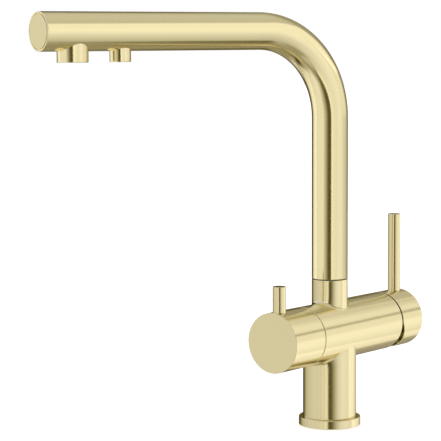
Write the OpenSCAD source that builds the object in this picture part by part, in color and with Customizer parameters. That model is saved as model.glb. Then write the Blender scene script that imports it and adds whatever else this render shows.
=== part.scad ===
// Three way kitchen tap with a separate filtered water path.
// Origin: centre of the base on the worktop. +Z up, barrel along X,
// filter handle at the -X end, mixer handle at the +X end.

/* [Base and column] */
// Diameter of the base ring
base_ring_d = 48; // [46:0.5:54]
// Height of the base ring
base_ring_h = 6.5; // [5:0.5:9]
// Diameter of the column
column_d = 41.6; // [40:0.2:44]
// Radial width of the base ring, round the column's foot
base_ring_w = 6; // [5.5:0.25:7]
// Radial width of the base gasket
gasket_w = 2.5; // [2:0.25:3]
// Thickness of the base gasket
gasket_t = 2; // [1.5:0.25:3]
// Circle through the centres of the four tapped holes in the foot
port_circle_d = 20; // [19.5:0.25:21]
// Bore of the M10x1 hose inlets
hose_bore_d = 9; // [8.8:0.1:9.2]
// Depth of the hose inlets
hose_bore_depth = 12; // [10:1:16]
// Bore of the M8 stud hole
stud_bore_d = 6.8; // [6.6:0.1:7]
// Depth of the stud hole
stud_bore_depth = 16; // [12:1:20]
// Diameter of the drilled waterways
waterway_d = 6; // [5:0.25:6.25]

/* [Barrel] */
// Diameter of the barrel and of both handle caps
barrel_d = 46; // [45:0.5:50]
// Height of the barrel's axis above the worktop
barrel_axis_h = 73.3; // [72:0.5:90]
// Length of the barrel from the column's axis to the filter handle
barrel_left = 36.1; // [35:0.25:42]
// Length of the barrel from the column's axis to the mixer handle
barrel_right = 68.3; // [67:0.25:74]
// Height of the neck's top above the barrel's axis
neck_h = 41.4; // [40:0.2:48]
// Wall of the neck round the swivel bore
neck_wall = 2.5; // [2:0.1:3]

/* [Spout] */
// Outside diameter of the spout tube and of the neck
tube_d = 28; // [27:0.5:30]
// Wall of the spout tube
tube_wall = 1.2; // [1:0.1:1.5]
// Height of the arm's axis above the worktop
arm_axis_h = 306.8; // [290:1:340]
// Distance from the riser's axis to the end face of the arm
arm_reach = 254.3; // [250:1:275]
// Radius of the bend, to the tube's axis
bend_r = 66.9; // [50:1:75]
// Angle of the arm round the riser in the rest position, from +X
spout_swing = 163.3; // [0:0.1:360]
// Height of the seam between neck and spout
swivel_seam = 0.6; // [0.4:0.1:1]
// Distance of the main outlet's axis from the end face of the arm
main_outlet_inset = 27.1; // [22:0.5:34]
// Outside diameter of the main outlet sleeve
main_outlet_d = 22.3; // [21:0.25:24]
// Distance between the axes of the two outlets
outlet_spacing = 38.9; // [32:0.5:49]
// Outside diameter of the filter outlet sleeve
filter_outlet_d = 15.3; // [14.8:0.1:17]
// Wall of both outlet sleeves
sleeve_wall = 1.4; // [1.2:0.1:1.7]
// Length of the outlet sleeves below the arm
outlet_drop = 7.7; // [6:0.5:12]
// Thickness of the plug in the end of the arm
end_plug_t = 5; // [3:0.5:6]
// Outside diameter of the inner pipe for filtered water
pipe_d = 8; // [7:0.25:9]
// Wall of the inner pipe
pipe_wall = 1; // [0.75:0.25:1.5]

/* [Mixer handle] */
// Gap between barrel and mixer cap
mixer_seam = 1.5; // [1:0.1:2]
// Length of the mixer cap along the barrel's axis
mixer_cap_len = 27.7; // [27:0.25:32]
// Diameter of the mixer lever and of the filter pin
lever_d = 10; // [8:0.25:11]
// Height of the lever's top above the barrel's axis
mixer_lever_h = 85.3; // [60:1:110]
// Distance of the lever's axis from the outer face of its cap
mixer_lever_inset = 7.6; // [7:0.1:8.2]
// Tilt of the lever from shut to full flow
flow_angle = 24; // [18:1:24]
// Extra angle of the oblique cut in the cap's rim, beyond the tilt
rim_relief = 0.5; // [0:0.25:2]

/* [Filter handle] */
// Gap between barrel and filter cap
filter_seam = 0.6; // [0.4:0.1:1]
// Length of the filter cap along the barrel's axis
filter_cap_len = 36.9; // [36:0.25:42]
// Height of the pin's top above the barrel's axis
filter_pin_h = 42.2; // [36:1:60]
// Distance of the pin's axis from the outer face of its cap
filter_pin_inset = 8.8; // [7.5:0.1:9.5]
// Wall of the filter cap round the valve
filter_cap_wall = 3; // [2.5:0.25:4]

/* [Mixer cartridge] */
// Diameter of the cartridge housing
cartridge_d = 34.8; // [34.5:0.1:35]
// Wall of the cartridge housing
cartridge_wall = 2.2; // [2:0.1:2.2]
// Thickness of the cartridge's base plate
cartridge_base_t = 5.5; // [4.5:0.25:7]
// Diameter of the fixed ceramic disc
fixed_disc_d = 28; // [27:0.5:30]
// Diameter of the moving ceramic disc
moving_disc_d = 24; // [23.5:0.25:24]
// Thickness of each mixer disc
mixer_disc_t = 4; // [3.5:0.25:5]
// Depth of the mixing pocket in the moving disc
pocket_depth = 2; // [1.5:0.25:2.5]
// Thickness of the coupler behind the moving disc
coupler_t = 5; // [4.5:0.25:6]
// Thickness of the carrier's flange
carrier_flange_t = 4.8; // [4:0.2:6]
// Diameter of the carrier's neck
carrier_neck_d = 18; // [17.5:0.25:19]
// Width of the lever stem
stem_w = 6.6; // [6:0.2:7]
// Height of the lever stem
stem_h = 8; // [7:0.25:8]
// Diameter of the nose that moves the disc
nose_d = 4.4; // [4:0.1:4.6]
// Diameter of the pivot pin
pivot_pin_d = 3; // [2.5:0.25:3.5]
// Outside diameter of the cartridge nut
nut_d = 39; // [38.5:0.1:39.4]
// Thickness of the cartridge nut
nut_t = 5; // [4:0.25:6]
// Width across the flats of the nut's hexagon socket
nut_socket = 27; // [25:0.5:30]
// Outside diameter of the dome cover
dome_d = 38; // [37:0.25:38.5]
// Wall of the dome cover
dome_wall = 1.4; // [1:0.1:1.6]

/* [Filter valve] */
// Diameter of the valve housing's thread
valve_d = 19.8; // [19.4:0.1:20.4]
// Length of the valve housing inside the barrel
valve_insert = 20.6; // [20:0.1:21]
// Wall of the valve housing
valve_wall = 1.8; // [1.6:0.1:2]
// Thickness of the fixed disc and of the moving disc
valve_disc_t = 3; // [2.5:0.1:3]
// Thickness of the seat seal
seat_seal_t = 2.5; // [2:0.1:2.5]
// Width across the flats of the valve's hexagon
valve_hex = 24; // [22:0.5:26]
// Thickness of the valve's hexagon
valve_hex_t = 5; // [4:0.25:6]
// Length of the valve's neck outside the hexagon
valve_neck_len = 9; // [8:0.25:10]
// Diameter of the valve's spindle
spindle_d = 8; // [7:0.25:8.5]

/* [Fits and edges] */
// Radial clearance of shafts that turn in bores
running = 0.06; // [0.03:0.01:0.1]
// Radial clearance of parts that are only put in
slack = 0.2; // [0.15:0.05:0.3]
// Film gap between ceramic discs
film = 0.05; // [0.03:0.01:0.1]
// Chamfer on the visible edges
edge = 0.4; // [0.2:0.1:0.8]

/* [Hidden] */
$fn = 64;
eps = 0.01;
over = 1;

gold = "#d9cc97";
raw_brass = "#c9a648";
ceramic_white = "#f1efe6";
ceramic_grey = "#c9c6bd";
rubber_black = "#26262a";
acetal = "#e6e4dc";
grey_plastic = "#83868a";
steel = "#b6b8ba";
pipe_white = "#f4f4ef";

barrel_r = barrel_d / 2;
tube_r = tube_d / 2;
tube_bore_r = tube_r - tube_wall;
waterway_r = waterway_d / 2;
feed_r = waterway_r - 0.2;
filter_feed_r = waterway_r - 0.4;

// Foot and gasket
foot_d = base_ring_d - 2 * base_ring_w;
gasket_mid_r = (base_ring_d / 2 + foot_d / 2) / 2;
port_r = port_circle_d / 2;

// Neck, swivel and nozzle, as heights
neck_top = barrel_axis_h + neck_h;
tube_foot = neck_top + swivel_seam;
neck_bore_r = tube_r - neck_wall;
chamber_depth = 24.7;
chamber_floor = neck_top - chamber_depth;
outlet_mouth = [neck_bore_r - 3.5, 0, chamber_floor + 2];
spigot_r = neck_bore_r - running;
spigot_wall = 3;
spigot_bore_r = spigot_r - spigot_wall;
spigot_gap = 0.6;
spigot_foot = chamber_floor + spigot_gap;
spigot_grip = 14;
spigot_top = tube_foot + spigot_grip;
groove_depth = 1.6;
oring_h = 1.8;
oring_heights = [neck_top - 5, neck_top - 9.4];
glide_ring_h = 3;
glide_ring_foot = spigot_foot + 2.2;
glide_ring_depth = 0.8;
glide_ring_split = 1.2;
washer_inset = 0.7;
lock_depth = 15.1;
lock_h = neck_top - lock_depth;
lock_groove_h = 3.4;
lock_groove_depth = 1.1;
lock_screw_r = 2;
lock_tip_r = 1.25;
lock_tip_len = 1.2;
lock_tip_gap = 0.3;
lock_screw_len = tube_r - spigot_r + lock_groove_depth - 2 * lock_tip_gap;
nozzle_flange_r = 5.5;
nozzle_flange_t = 2;
nozzle_r = 3.5;
nozzle_bore_r = 1.75;
nozzle_tail_r = 3;
nozzle_tail_len = 2.6;
nozzle_len = 14;
nozzle_top = chamber_floor + nozzle_len;
socket_r = 6.2;
socket_gap = 0.4;
socket_foot = chamber_floor + nozzle_flange_t + socket_gap;
pipe_foot = nozzle_top + 0.6;
pipe_grip = 8;
socket_top = pipe_foot + pipe_grip;
pipe_oring_h = 1.8;
pipe_oring_r = nozzle_r + 1.5;
pipe_oring_foot = socket_foot + 4;
filter_drill_d = 4.5;
filter_drill_h = chamber_floor - 4.2;

// Mixer cartridge, as distances along the barrel from the column's axis
dome_skirt = 3.6;
housing_top_t = 3.2;
seal_stand = 0.5;
slide_gap = 0.2;
pivot_from_end = 6.3;
pivot_x = barrel_right - pivot_from_end;
nut_x1 = barrel_right - dome_skirt - slack;
nut_x0 = nut_x1 - nut_t;
housing_x1 = nut_x0;
carrier_x1 = housing_x1 - housing_top_t - slide_gap;
carrier_x0 = carrier_x1 - carrier_flange_t;
coupler_x0 = carrier_x0 - slide_gap - coupler_t;
moving_x0 = coupler_x0 - mixer_disc_t;
fixed_x0 = moving_x0 - film - mixer_disc_t;
base_x0 = fixed_x0 - cartridge_base_t;
seat_x = base_x0 - seal_stand;
carrier_neck_x1 = pivot_x + 4.5;
pivot_pin_len = carrier_neck_d - 1.2;
cartridge_r = cartridge_d / 2;
housing_bore_r = cartridge_r - cartridge_wall;
carrier_r = housing_bore_r - 2 * slack;
nut_r = nut_d / 2;
thread_bore_r = nut_r + slack / 2;
seat_bore_r = cartridge_r + slack;
coupler_half_w = 8;
lug_gap = 0.2;
lug_x0 = moving_x0 + mixer_disc_t + 0.5;
stem_slot_w = stem_w + 4 * slack;
stem_slot_h = stem_h + 6.2;
nose_slot_h = nose_d + 2 * slack;
coupler_floor = 0.6;
nose_x = coupler_x0 + coupler_floor + nose_d / 2;
nose_arm = pivot_x - nose_x;
disc_travel = nose_arm * sin(flow_angle);
disc_shift = -disc_travel / 2;
pocket_rim = 1.5;
pocket_half_w = 7.6;
pocket_top = 0.3;
arm_slot_h = 2 * disc_travel + nose_d + 4 * slack;
arm_bar_h = 3;
hub_r = 5;

// Ports, pegs and seals of the mixer cartridge
inlet_r0 = 6.2;
inlet_r1 = 9.6;
inlet_a0 = 45;
inlet_a1 = 85;
outlet_r0 = 4;
outlet_r1 = 9;
outlet_half_a = 30;
inlet_hole_d = 5.2;
inlet_hole_y = 7.2;
inlet_hole_z = 3.3;
outlet_hole_z = -6.5;
peg_r = 1.5;
peg_len = 2;
peg_y = 11;
peg_z = -8;
seal_ring_w = 1.2;
seal_ring_t = 1.6;
seal_groove_gap = 0.1;

// Mixer handle
mixer_rim_x = barrel_right + mixer_seam;
mixer_cap_x = mixer_rim_x + mixer_cap_len;
dome_r = dome_d / 2;
dome_open = 12;
cap_bore_r = dome_r + 0.5;
cap_bore_x = pivot_x + dome_r + 1;
lever_r = lever_d / 2;
mixer_lever_x = mixer_cap_x - mixer_lever_inset;
stem_x1 = mixer_cap_x - 7.5;
lever_seat_depth = 4;
stub_r = 3;
stub_foot = 9;
grub_r = 2.5;
grub_len = 6;
grub_tip_r = grub_r - 1;
grub_tip_len = 1;
mixer_grub_x = cap_bore_x + 4;
hex_key_r = 1.45;
hex_key_depth = 2.5;

// Filter valve, as distances from the column's axis towards -X
valve_r = valve_d / 2;
valve_bore_r = valve_r + slack / 2;
valve_inner_r = valve_r - valve_wall;
valve_foot_gap = 0.5;
valve_seat = barrel_left - valve_insert - valve_foot_gap;
seat_seal_bore_r = waterway_r + 1.5;
seal_u1 = valve_seat + seat_seal_t;
fixed_disc_u1 = seal_u1 + valve_disc_t;
moving_disc_u0 = fixed_disc_u1 + film;
moving_disc_u1 = moving_disc_u0 + valve_disc_t;
foot_u1 = moving_disc_u1 + 4.2;
cavity_u1 = foot_u1 + slide_gap;
window_u0 = moving_disc_u1 + 0.4;
window_u1 = foot_u1 - 0.4;
window_h = 8;
plenum_r = 13.5;
plenum_u0 = window_u0 - 1;
plenum_u1 = window_u1 + 1;
hex_u1 = barrel_left + valve_hex_t;
valve_neck_r = 8;
valve_neck_u1 = hex_u1 + valve_neck_len;
spindle_r = spindle_d / 2;
foot_bar_w = 7;
disc_port_r = 2.2;
disc_port_at = 4;
tongue_w = 3;
tongue_depth = 1;
housing_oring_r = 1;
spindle_groove_depth = 1;
spindle_oring_h = 1.6;
spindle_orings = [barrel_left - 2.5, barrel_left + 1.5];
circlip_t = 1;
circlip_r = 6;
circlip_groove_depth = 0.7;

// Filter handle
filter_rim_u = barrel_left + filter_seam;
filter_cap_u = filter_rim_u + filter_cap_len;
filter_cap_bore_r = barrel_r - filter_cap_wall;
filter_bore_u = valve_neck_u1 + 5.9;
spindle_u1 = filter_bore_u + 7;
filter_pin_u = filter_cap_u - filter_pin_inset;
filter_grub_u = (filter_bore_u + spindle_u1) / 2;

// Outlets
main_outlet_at = arm_reach - main_outlet_inset;
filter_outlet_at = main_outlet_at - outlet_spacing;
outlet_h = arm_axis_h - tube_r - outlet_drop;
main_sleeve_bore_r = main_outlet_d / 2 - sleeve_wall;
filter_sleeve_bore_r = filter_outlet_d / 2 - sleeve_wall;
insert_recess = 0.8;
insert_len = 5.6;
insert_wall = 1.2;
seal_t = 1.5;
screen_t = 0.8;
screen_hole_r = 0.75;
screen_pitch = 2.2;
former_hole_r = 0.8;
former_pitch = 2.3;
elbow_r = filter_sleeve_bore_r - slack / 2;
elbow_socket_len = 12;
elbow_foot = outlet_h + insert_recess + insert_len + seal_t;

// Places children on the barrel's axis, with their own Z along +X and their own X pointing down
module on_barrel(x = 0) {
  translate([x, 0, barrel_axis_h]) rotate([0, 90, 0]) children();
}

// Round bar along the barrel's axis
module bar_x(x0, x1, r) {
  on_barrel(x0) cylinder(h = x1 - x0, r = r);
}

// Tube along the barrel's axis
module tube_x(x0, x1, outer, inner) {
  difference() {
    bar_x(x0, x1, outer);
    bar_x(x0 - over, x1 + over, inner);
  }
}

// Upright tube
module tube_z(z0, z1, outer, inner) {
  difference() {
    translate([0, 0, z0]) cylinder(h = z1 - z0, r = outer);
    translate([0, 0, z0 - over]) cylinder(h = z1 - z0 + 2 * over, r = inner);
  }
}

// Block centred on the barrel's axis in Y and Z
module block_x(x0, x1, w, h) {
  translate([x0, -w / 2, barrel_axis_h - h / 2]) cube([x1 - x0, w, h]);
}

// Round bar across the barrel's axis at distance x, centred on it
module cross_bar(x, len, r) {
  translate([x, 0, barrel_axis_h]) rotate([90, 0, 0]) cylinder(h = len, r = r, center = true);
}

// Straight drilling between two points
module drill(from, to, r) {
  d = to - from;
  flat = norm([d[0], d[1]]);
  translate(from) rotate([0, atan2(flat, d[2]), atan2(d[1], d[0])]) cylinder(h = norm(d), r = r);
}

// Round bar with chamfered ends, standing on z = 0
module rod(r, h, foot_edge = 0, top_edge = edge) {
  rotate_extrude() polygon([
    [0, 0], [r - foot_edge, 0], [r, foot_edge], [r, h - top_edge], [r - top_edge, h], [0, h]
  ]);
}

// Set screw with a hexagon socket, tip at z = 0
module set_screw(r, len, tip_r, tip_len) {
  difference() {
    union() {
      cylinder(h = tip_len + eps, r = tip_r);
      translate([0, 0, tip_len]) cylinder(h = len - tip_len, r = r);
    }
    translate([0, 0, len - hex_key_depth * r / grub_r])
      cylinder(h = hex_key_depth, r = hex_key_r * r / grub_r, $fn = 6);
  }
}

// Swan neck of one radius: riser from z0, bend, arm to reach x1, with the arm along +X
module swan_neck(r, z0, x1) {
  bend_h = arm_axis_h - bend_r;
  translate([0, 0, z0]) cylinder(h = bend_h - z0, r = r);
  translate([bend_r, 0, bend_h]) rotate([90, 0, 0])
    rotate_extrude(angle = 90, start = 90) translate([bend_r, 0]) circle(r = r);
  translate([bend_r, 0, arm_axis_h]) rotate([0, 90, 0]) cylinder(h = x1 - bend_r, r = r);
}

// Turns what is modelled with the arm along +X to the rest position of the spout
module swung() {
  rotate([0, 0, spout_swing]) children();
}

// The three waterways from the hose inlets to the two valve seats
module inlet_waterways() {
  seat_h = barrel_axis_h + inlet_hole_z;
  for (side = [-1, 1]) {
    foot = [0, side * port_r, hose_bore_depth - eps];
    knee = [0, side * port_r, seat_h];
    drill(foot, knee, waterway_r);
    drill(knee, [seat_x + eps, side * inlet_hole_y, seat_h], feed_r);
  }
  filter_knee = [-port_r, 0, barrel_axis_h];
  drill([-port_r, 0, hose_bore_depth - eps], filter_knee + [0, 0, waterway_r], waterway_r);
  drill(filter_knee, [-valve_seat - eps, 0, barrel_axis_h], filter_feed_r);
}

// The outlet waterways: mixed water to the chamber, filtered water to the nozzle
module outlet_waterways() {
  drill([seat_x + eps, 0, barrel_axis_h + outlet_hole_z], outlet_mouth, feed_r);
  drill([-plenum_u0 - eps, 0, filter_drill_h], [0, 0, filter_drill_h], filter_drill_d / 2);
  translate([0, 0, filter_drill_h]) cylinder(h = chamber_floor - filter_drill_h + over, r = nozzle_bore_r);
  translate([0, 0, chamber_floor - nozzle_tail_len])
    cylinder(h = nozzle_tail_len + over, r = nozzle_tail_r);
}

module base_ring() color(gold)
  difference() {
    rod(base_ring_d / 2, base_ring_h);
    translate([0, 0, -over]) cylinder(h = base_ring_h + 2 * over, r = foot_d / 2 + slack);
    tube_z(-over, gasket_t, gasket_mid_r + gasket_w / 2, gasket_mid_r - gasket_w / 2);
  }

module base_gasket() color(rubber_black)
  tube_z(0, gasket_t, gasket_mid_r + gasket_w / 2, gasket_mid_r - gasket_w / 2);

module column() color(gold)
  difference() {
    union() {
      cylinder(h = base_ring_h + eps, r = foot_d / 2);
      translate([0, 0, base_ring_h]) cylinder(h = barrel_axis_h - base_ring_h, r = column_d / 2);
    }
    bar_x(-barrel_left, barrel_right, barrel_r);
    for (a = [90, 180, 270])
      rotate([0, 0, a]) translate([port_r, 0, -over]) cylinder(h = hose_bore_depth + over, d = hose_bore_d);
    translate([port_r, 0, -over]) cylinder(h = stud_bore_depth + over, d = stud_bore_d);
    inlet_waterways();
  }

module valve_body() color(gold)
  difference() {
    union() {
      bar_x(-barrel_left, barrel_right, barrel_r);
      translate([0, 0, barrel_axis_h]) cylinder(h = neck_h, r = tube_r);
    }
    translate([0, 0, chamber_floor]) cylinder(h = neck_top - chamber_floor + over, r = neck_bore_r);
    bar_x(seat_x, housing_x1 + eps, seat_bore_r);
    bar_x(housing_x1, barrel_right + over, thread_bore_r);
    for (side = [-1, 1])
      translate([0, side * peg_y, peg_z]) bar_x(seat_x - peg_len, seat_x + over, peg_r);
    bar_x(-barrel_left - over, -valve_seat, valve_bore_r);
    bar_x(-plenum_u1, -plenum_u0, plenum_r);
    inlet_waterways();
    outlet_waterways();
    translate([0, neck_bore_r - over, lock_h]) rotate([-90, 0, 0])
      cylinder(h = neck_wall + 2 * over, r = lock_screw_r);
  }

// Screw at the neck's rear whose tip holds the spigot's groove
module spout_lock_screw() color(steel)
  translate([0, spigot_r - lock_groove_depth + lock_tip_gap, lock_h]) rotate([-90, 0, 0])
    set_screw(lock_screw_r, lock_screw_len, lock_tip_r, lock_tip_len);

module filter_nozzle() color(raw_brass)
  difference() {
    union() {
      translate([0, 0, chamber_floor - nozzle_tail_len])
        cylinder(h = nozzle_tail_len + eps, r = nozzle_tail_r);
      translate([0, 0, chamber_floor]) cylinder(h = nozzle_flange_t, r = nozzle_flange_r);
      translate([0, 0, chamber_floor]) rod(nozzle_r, nozzle_top - chamber_floor);
    }
    translate([0, 0, chamber_floor - nozzle_tail_len - over])
      cylinder(h = nozzle_top - chamber_floor + nozzle_tail_len + 2 * over, r = nozzle_bore_r);
  }

// Ports of the mixer's base plate, in the plane of the seat
module base_ports() {
  for (side = [-1, 1]) translate([-inlet_hole_z, side * inlet_hole_y, 0]) children(0);
  translate([-outlet_hole_z, 0, 0]) children(0);
}

module cartridge_base() color(acetal) {
  difference() {
    on_barrel(base_x0) cylinder(h = cartridge_base_t, r = cartridge_r);
    on_barrel(base_x0 - over) base_ports() cylinder(h = cartridge_base_t + 2 * over, d = inlet_hole_d);
    on_barrel(base_x0 - over) base_ports()
      cylinder(h = seal_ring_t - seal_stand + over, r = inlet_hole_d / 2 + seal_ring_w + seal_groove_gap);
  }
  for (side = [-1, 1])
    translate([0, side * peg_y, peg_z]) bar_x(seat_x - peg_len + slack, base_x0 + eps, peg_r - slack / 2);
}

// Three sealing rings between the seat and the base plate
module cartridge_seals() color(rubber_black)
  on_barrel(seat_x) base_ports() difference() {
    cylinder(h = seal_ring_t, r = inlet_hole_d / 2 + seal_ring_w);
    translate([0, 0, -over]) cylinder(h = seal_ring_t + 2 * over, d = inlet_hole_d);
  }

// Curved port between two radii and two angles, measured from the top of the disc
module kidney(r0, r1, a0, a1, depth) {
  rotate_extrude(angle = a1 - a0, start = 180 + a0) translate([r0, 0]) square([r1 - r0, depth]);
}

module mixer_fixed_disc() color(ceramic_white)
  difference() {
    bar_x(fixed_x0, fixed_x0 + mixer_disc_t, fixed_disc_d / 2);
    on_barrel(fixed_x0 - over) {
      kidney(inlet_r0, inlet_r1, inlet_a0, inlet_a1, mixer_disc_t + 2 * over);
      kidney(inlet_r0, inlet_r1, -inlet_a1, -inlet_a0, mixer_disc_t + 2 * over);
      kidney(outlet_r0, outlet_r1, 180 - outlet_half_a, 180 + outlet_half_a, mixer_disc_t + 2 * over);
    }
  }

module cartridge_housing() color(acetal)
  difference() {
    bar_x(fixed_x0, housing_x1, cartridge_r);
    bar_x(fixed_x0 - over, carrier_x1 + slide_gap, housing_bore_r);
    bar_x(carrier_x1, housing_x1 + over, carrier_neck_d / 2 + slack);
  }

module cartridge_nut() color(raw_brass)
  difference() {
    bar_x(nut_x0, nut_x1, nut_r);
    on_barrel(nut_x0 - over) cylinder(h = nut_t + 2 * over, d = nut_socket / cos(30), $fn = 6);
  }

// Dome over the cartridge, round about the lever's pivot so that the cap can tilt on it
module dome_cover() color(gold) {
  skirt_bore_r = sqrt(pow(dome_r - dome_wall, 2) - pow(barrel_right - pivot_x, 2));
  difference() {
    union() {
      bar_x(nut_x1, barrel_right - slack, nut_r);
      intersection() {
        on_barrel(pivot_x) sphere(r = dome_r);
        bar_x(barrel_right - 2 * slack, pivot_x + dome_open, thread_bore_r);
      }
    }
    on_barrel(pivot_x) sphere(r = dome_r - dome_wall);
    bar_x(nut_x1 - over, barrel_right, skirt_bore_r);
  }
}

// Valve housing: threaded tube with two windows, hexagon and neck
module filter_valve_housing() color(raw_brass)
  difference() {
    union() {
      bar_x(-barrel_left - eps, -valve_seat - valve_foot_gap, valve_r);
      on_barrel(-hex_u1) cylinder(h = valve_hex_t, d = valve_hex / cos(30), $fn = 6);
      bar_x(-valve_neck_u1, -hex_u1 + eps, valve_neck_r);
    }
    bar_x(-cavity_u1, -valve_seat, valve_inner_r);
    bar_x(-valve_neck_u1 - over, -cavity_u1 + over, spindle_r + running);
    block_x(-window_u1, -window_u0, 2 * valve_d, window_h);
    tube_x(-barrel_left, -barrel_left + 2 * housing_oring_r, valve_r + over, valve_r - housing_oring_r);
  }

module filter_housing_oring() color(rubber_black)
  tube_x(-barrel_left, -barrel_left + 2 * housing_oring_r, valve_bore_r, valve_r - housing_oring_r);

module filter_seat_seal() color(rubber_black)
  tube_x(-seal_u1, -valve_seat, valve_inner_r - slack / 2, seat_seal_bore_r);

// Two round ports on opposite sides of a valve disc, turned about the barrel's axis
module disc_ports(x0, x1, turn = 0) {
  for (side = [-1, 1])
    on_barrel(x0) rotate([0, 0, turn]) translate([0, side * disc_port_at, 0])
      cylinder(h = x1 - x0, r = disc_port_r);
}

module filter_fixed_disc() color(ceramic_white)
  difference() {
    bar_x(-fixed_disc_u1, -seal_u1, valve_inner_r - slack / 2);
    disc_ports(-fixed_disc_u1 - over, -seal_u1 + over);
  }

// Moving disc: its ports stand crosswise to the fixed ones while the valve is shut
module filter_moving_disc() color(ceramic_grey)
  difference() {
    bar_x(-moving_disc_u1, -moving_disc_u0, valve_inner_r - slack / 2);
    disc_ports(-moving_disc_u1 - over, -moving_disc_u0 + over, 90);
    block_x(-moving_disc_u1 - over, -moving_disc_u1 + tongue_depth + slack, tongue_w + slack, 2 * valve_r);
  }

module filter_spindle() color(raw_brass)
  difference() {
    union() {
      intersection() {
        bar_x(-foot_u1, -moving_disc_u1, valve_inner_r - slack);
        block_x(-foot_u1, -moving_disc_u1, foot_bar_w, 2 * valve_r);
      }
      intersection() {
        bar_x(-foot_u1, -moving_disc_u1 + tongue_depth, valve_inner_r - slack);
        block_x(-foot_u1, -moving_disc_u1 + tongue_depth, tongue_w, 2 * valve_r);
      }
      bar_x(-spindle_u1, -foot_u1 + over, spindle_r);
    }
    for (u = spindle_orings)
      tube_x(-u - spindle_oring_h, -u, spindle_r + over, spindle_r - spindle_groove_depth);
    tube_x(-valve_neck_u1 - slide_gap - circlip_t, -valve_neck_u1 - slide_gap,
      spindle_r + over, spindle_r - circlip_groove_depth);
  }

module spindle_orings() color(rubber_black)
  for (u = spindle_orings)
    tube_x(-u - spindle_oring_h, -u, spindle_r + running / 2, spindle_r - spindle_groove_depth);

// Open spring clip that holds the spindle in its housing
module spindle_circlip() color(steel)
  difference() {
    tube_x(-valve_neck_u1 - slide_gap - circlip_t, -valve_neck_u1 - slide_gap,
      circlip_r, spindle_r - circlip_groove_depth);
    translate([-valve_neck_u1 - slide_gap - circlip_t - over, -spindle_r / 2, barrel_axis_h])
      cube([circlip_t + 2 * over, spindle_r, circlip_r + over]);
  }

// Hollow of a handle cap's end block for lever stub and lever foot, at distance x
module lever_seat(x) {
  seat = barrel_r - lever_seat_depth;
  translate([x, 0, barrel_axis_h + stub_foot - slack]) cylinder(h = barrel_r, r = stub_r + slack / 2);
  translate([x, 0, barrel_axis_h + seat]) cylinder(h = barrel_r, r = lever_r + slack / 4);
}

// Lever or pin: bar on a thinner stub, its top at a height above the barrel's axis
module lever_on(x, top) {
  seat = barrel_r - lever_seat_depth;
  translate([x, 0, barrel_axis_h + stub_foot]) cylinder(h = seat - stub_foot + eps, r = stub_r);
  translate([x, 0, barrel_axis_h + seat]) rod(lever_r, top - seat);
}

module filter_cap() color(gold)
  difference() {
    on_barrel(-filter_rim_u) mirror([0, 0, 1]) rod(barrel_r, filter_cap_len, 0, edge);
    bar_x(-filter_bore_u, -filter_rim_u + over, filter_cap_bore_r);
    bar_x(-spindle_u1 - slack, -filter_bore_u + over, spindle_r + running);
    lever_seat(-filter_pin_u);
    translate([-filter_grub_u, 0, 0]) cylinder(h = barrel_axis_h, r = grub_r + slack / 4);
  }

module filter_pin() color(gold)
  lever_on(-filter_pin_u, filter_pin_h);

module filter_grub_screw() color(steel)
  translate([-filter_grub_u, 0, barrel_axis_h - spindle_r]) rotate([180, 0, 0])
    set_screw(grub_r, grub_len, grub_tip_r, grub_tip_len);

// Carrier: flange with two guide lugs for the coupler, neck and slot for the lever stem
module mixer_carrier() color(acetal)
  difference() {
    union() {
      bar_x(carrier_x0, carrier_x1, carrier_r);
      bar_x(carrier_x1 - eps, carrier_neck_x1, carrier_neck_d / 2);
      for (side = [-1, 1]) intersection() {
        bar_x(lug_x0, carrier_x0 + eps, carrier_r);
        translate([lug_x0, side > 0 ? coupler_half_w + lug_gap : -coupler_half_w - lug_gap - carrier_r,
          barrel_axis_h - carrier_r]) cube([carrier_x0 - lug_x0 + eps, carrier_r, 2 * carrier_r]);
      }
    }
    block_x(lug_x0 - over, carrier_x1, stem_slot_w, arm_slot_h);
    block_x(carrier_x1 - over, carrier_neck_x1 + over, stem_slot_w, stem_slot_h);
    cross_bar(pivot_x, carrier_neck_d + 2 * over, pivot_pin_d / 2);
  }

module mixer_pivot_pin() color(steel)
  cross_bar(pivot_x, pivot_pin_len, pivot_pin_d / 2);

// Moving disc with its mixing pocket; it slides up as the lever tilts
module mixer_moving_disc() color(ceramic_grey)
  translate([0, 0, disc_shift]) difference() {
    bar_x(moving_x0, moving_x0 + mixer_disc_t, moving_disc_d / 2);
    intersection() {
      bar_x(moving_x0 - over, moving_x0 + pocket_depth, moving_disc_d / 2 - pocket_rim);
      translate([moving_x0 - over, -pocket_half_w, barrel_axis_h - moving_disc_d / 2])
        cube([pocket_depth + over, 2 * pocket_half_w, moving_disc_d / 2 - disc_shift - pocket_top]);
    }
  }

// Coupler clipped behind the moving disc, guided by the carrier and moved by the stem's nose
module disc_coupler() color(grey_plastic)
  difference() {
    intersection() {
      translate([0, 0, disc_shift]) bar_x(coupler_x0, coupler_x0 + coupler_t, moving_disc_d / 2);
      block_x(coupler_x0, coupler_x0 + coupler_t, 2 * coupler_half_w, 2 * moving_disc_d);
    }
    block_x(coupler_x0 + coupler_floor - slack / 2, coupler_x0 + coupler_t + over,
      stem_slot_w, nose_slot_h);
  }

module mixer_stem() color(raw_brass)
  difference() {
    union() {
      cross_bar(nose_x, stem_w, nose_d / 2);
      block_x(nose_x, pivot_x, stem_w, arm_bar_h);
      cross_bar(pivot_x, stem_w, hub_r);
      block_x(pivot_x, stem_x1, stem_w, stem_h);
    }
    cross_bar(pivot_x, stem_w + 2 * over, pivot_pin_d / 2 + running);
  }

// Wedge that opens the cap's rim below the axis, so that the cap can tilt inwards there
module rim_wedge() {
  drop = barrel_r + over;
  translate([0, drop, barrel_axis_h]) rotate([90, 0, 0]) linear_extrude(height = 2 * drop) polygon([
    [mixer_rim_x - over, 0], [mixer_rim_x, 0],
    [mixer_rim_x + drop * tan(flow_angle + rim_relief), -drop], [mixer_rim_x - over, -drop]
  ]);
}

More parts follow.
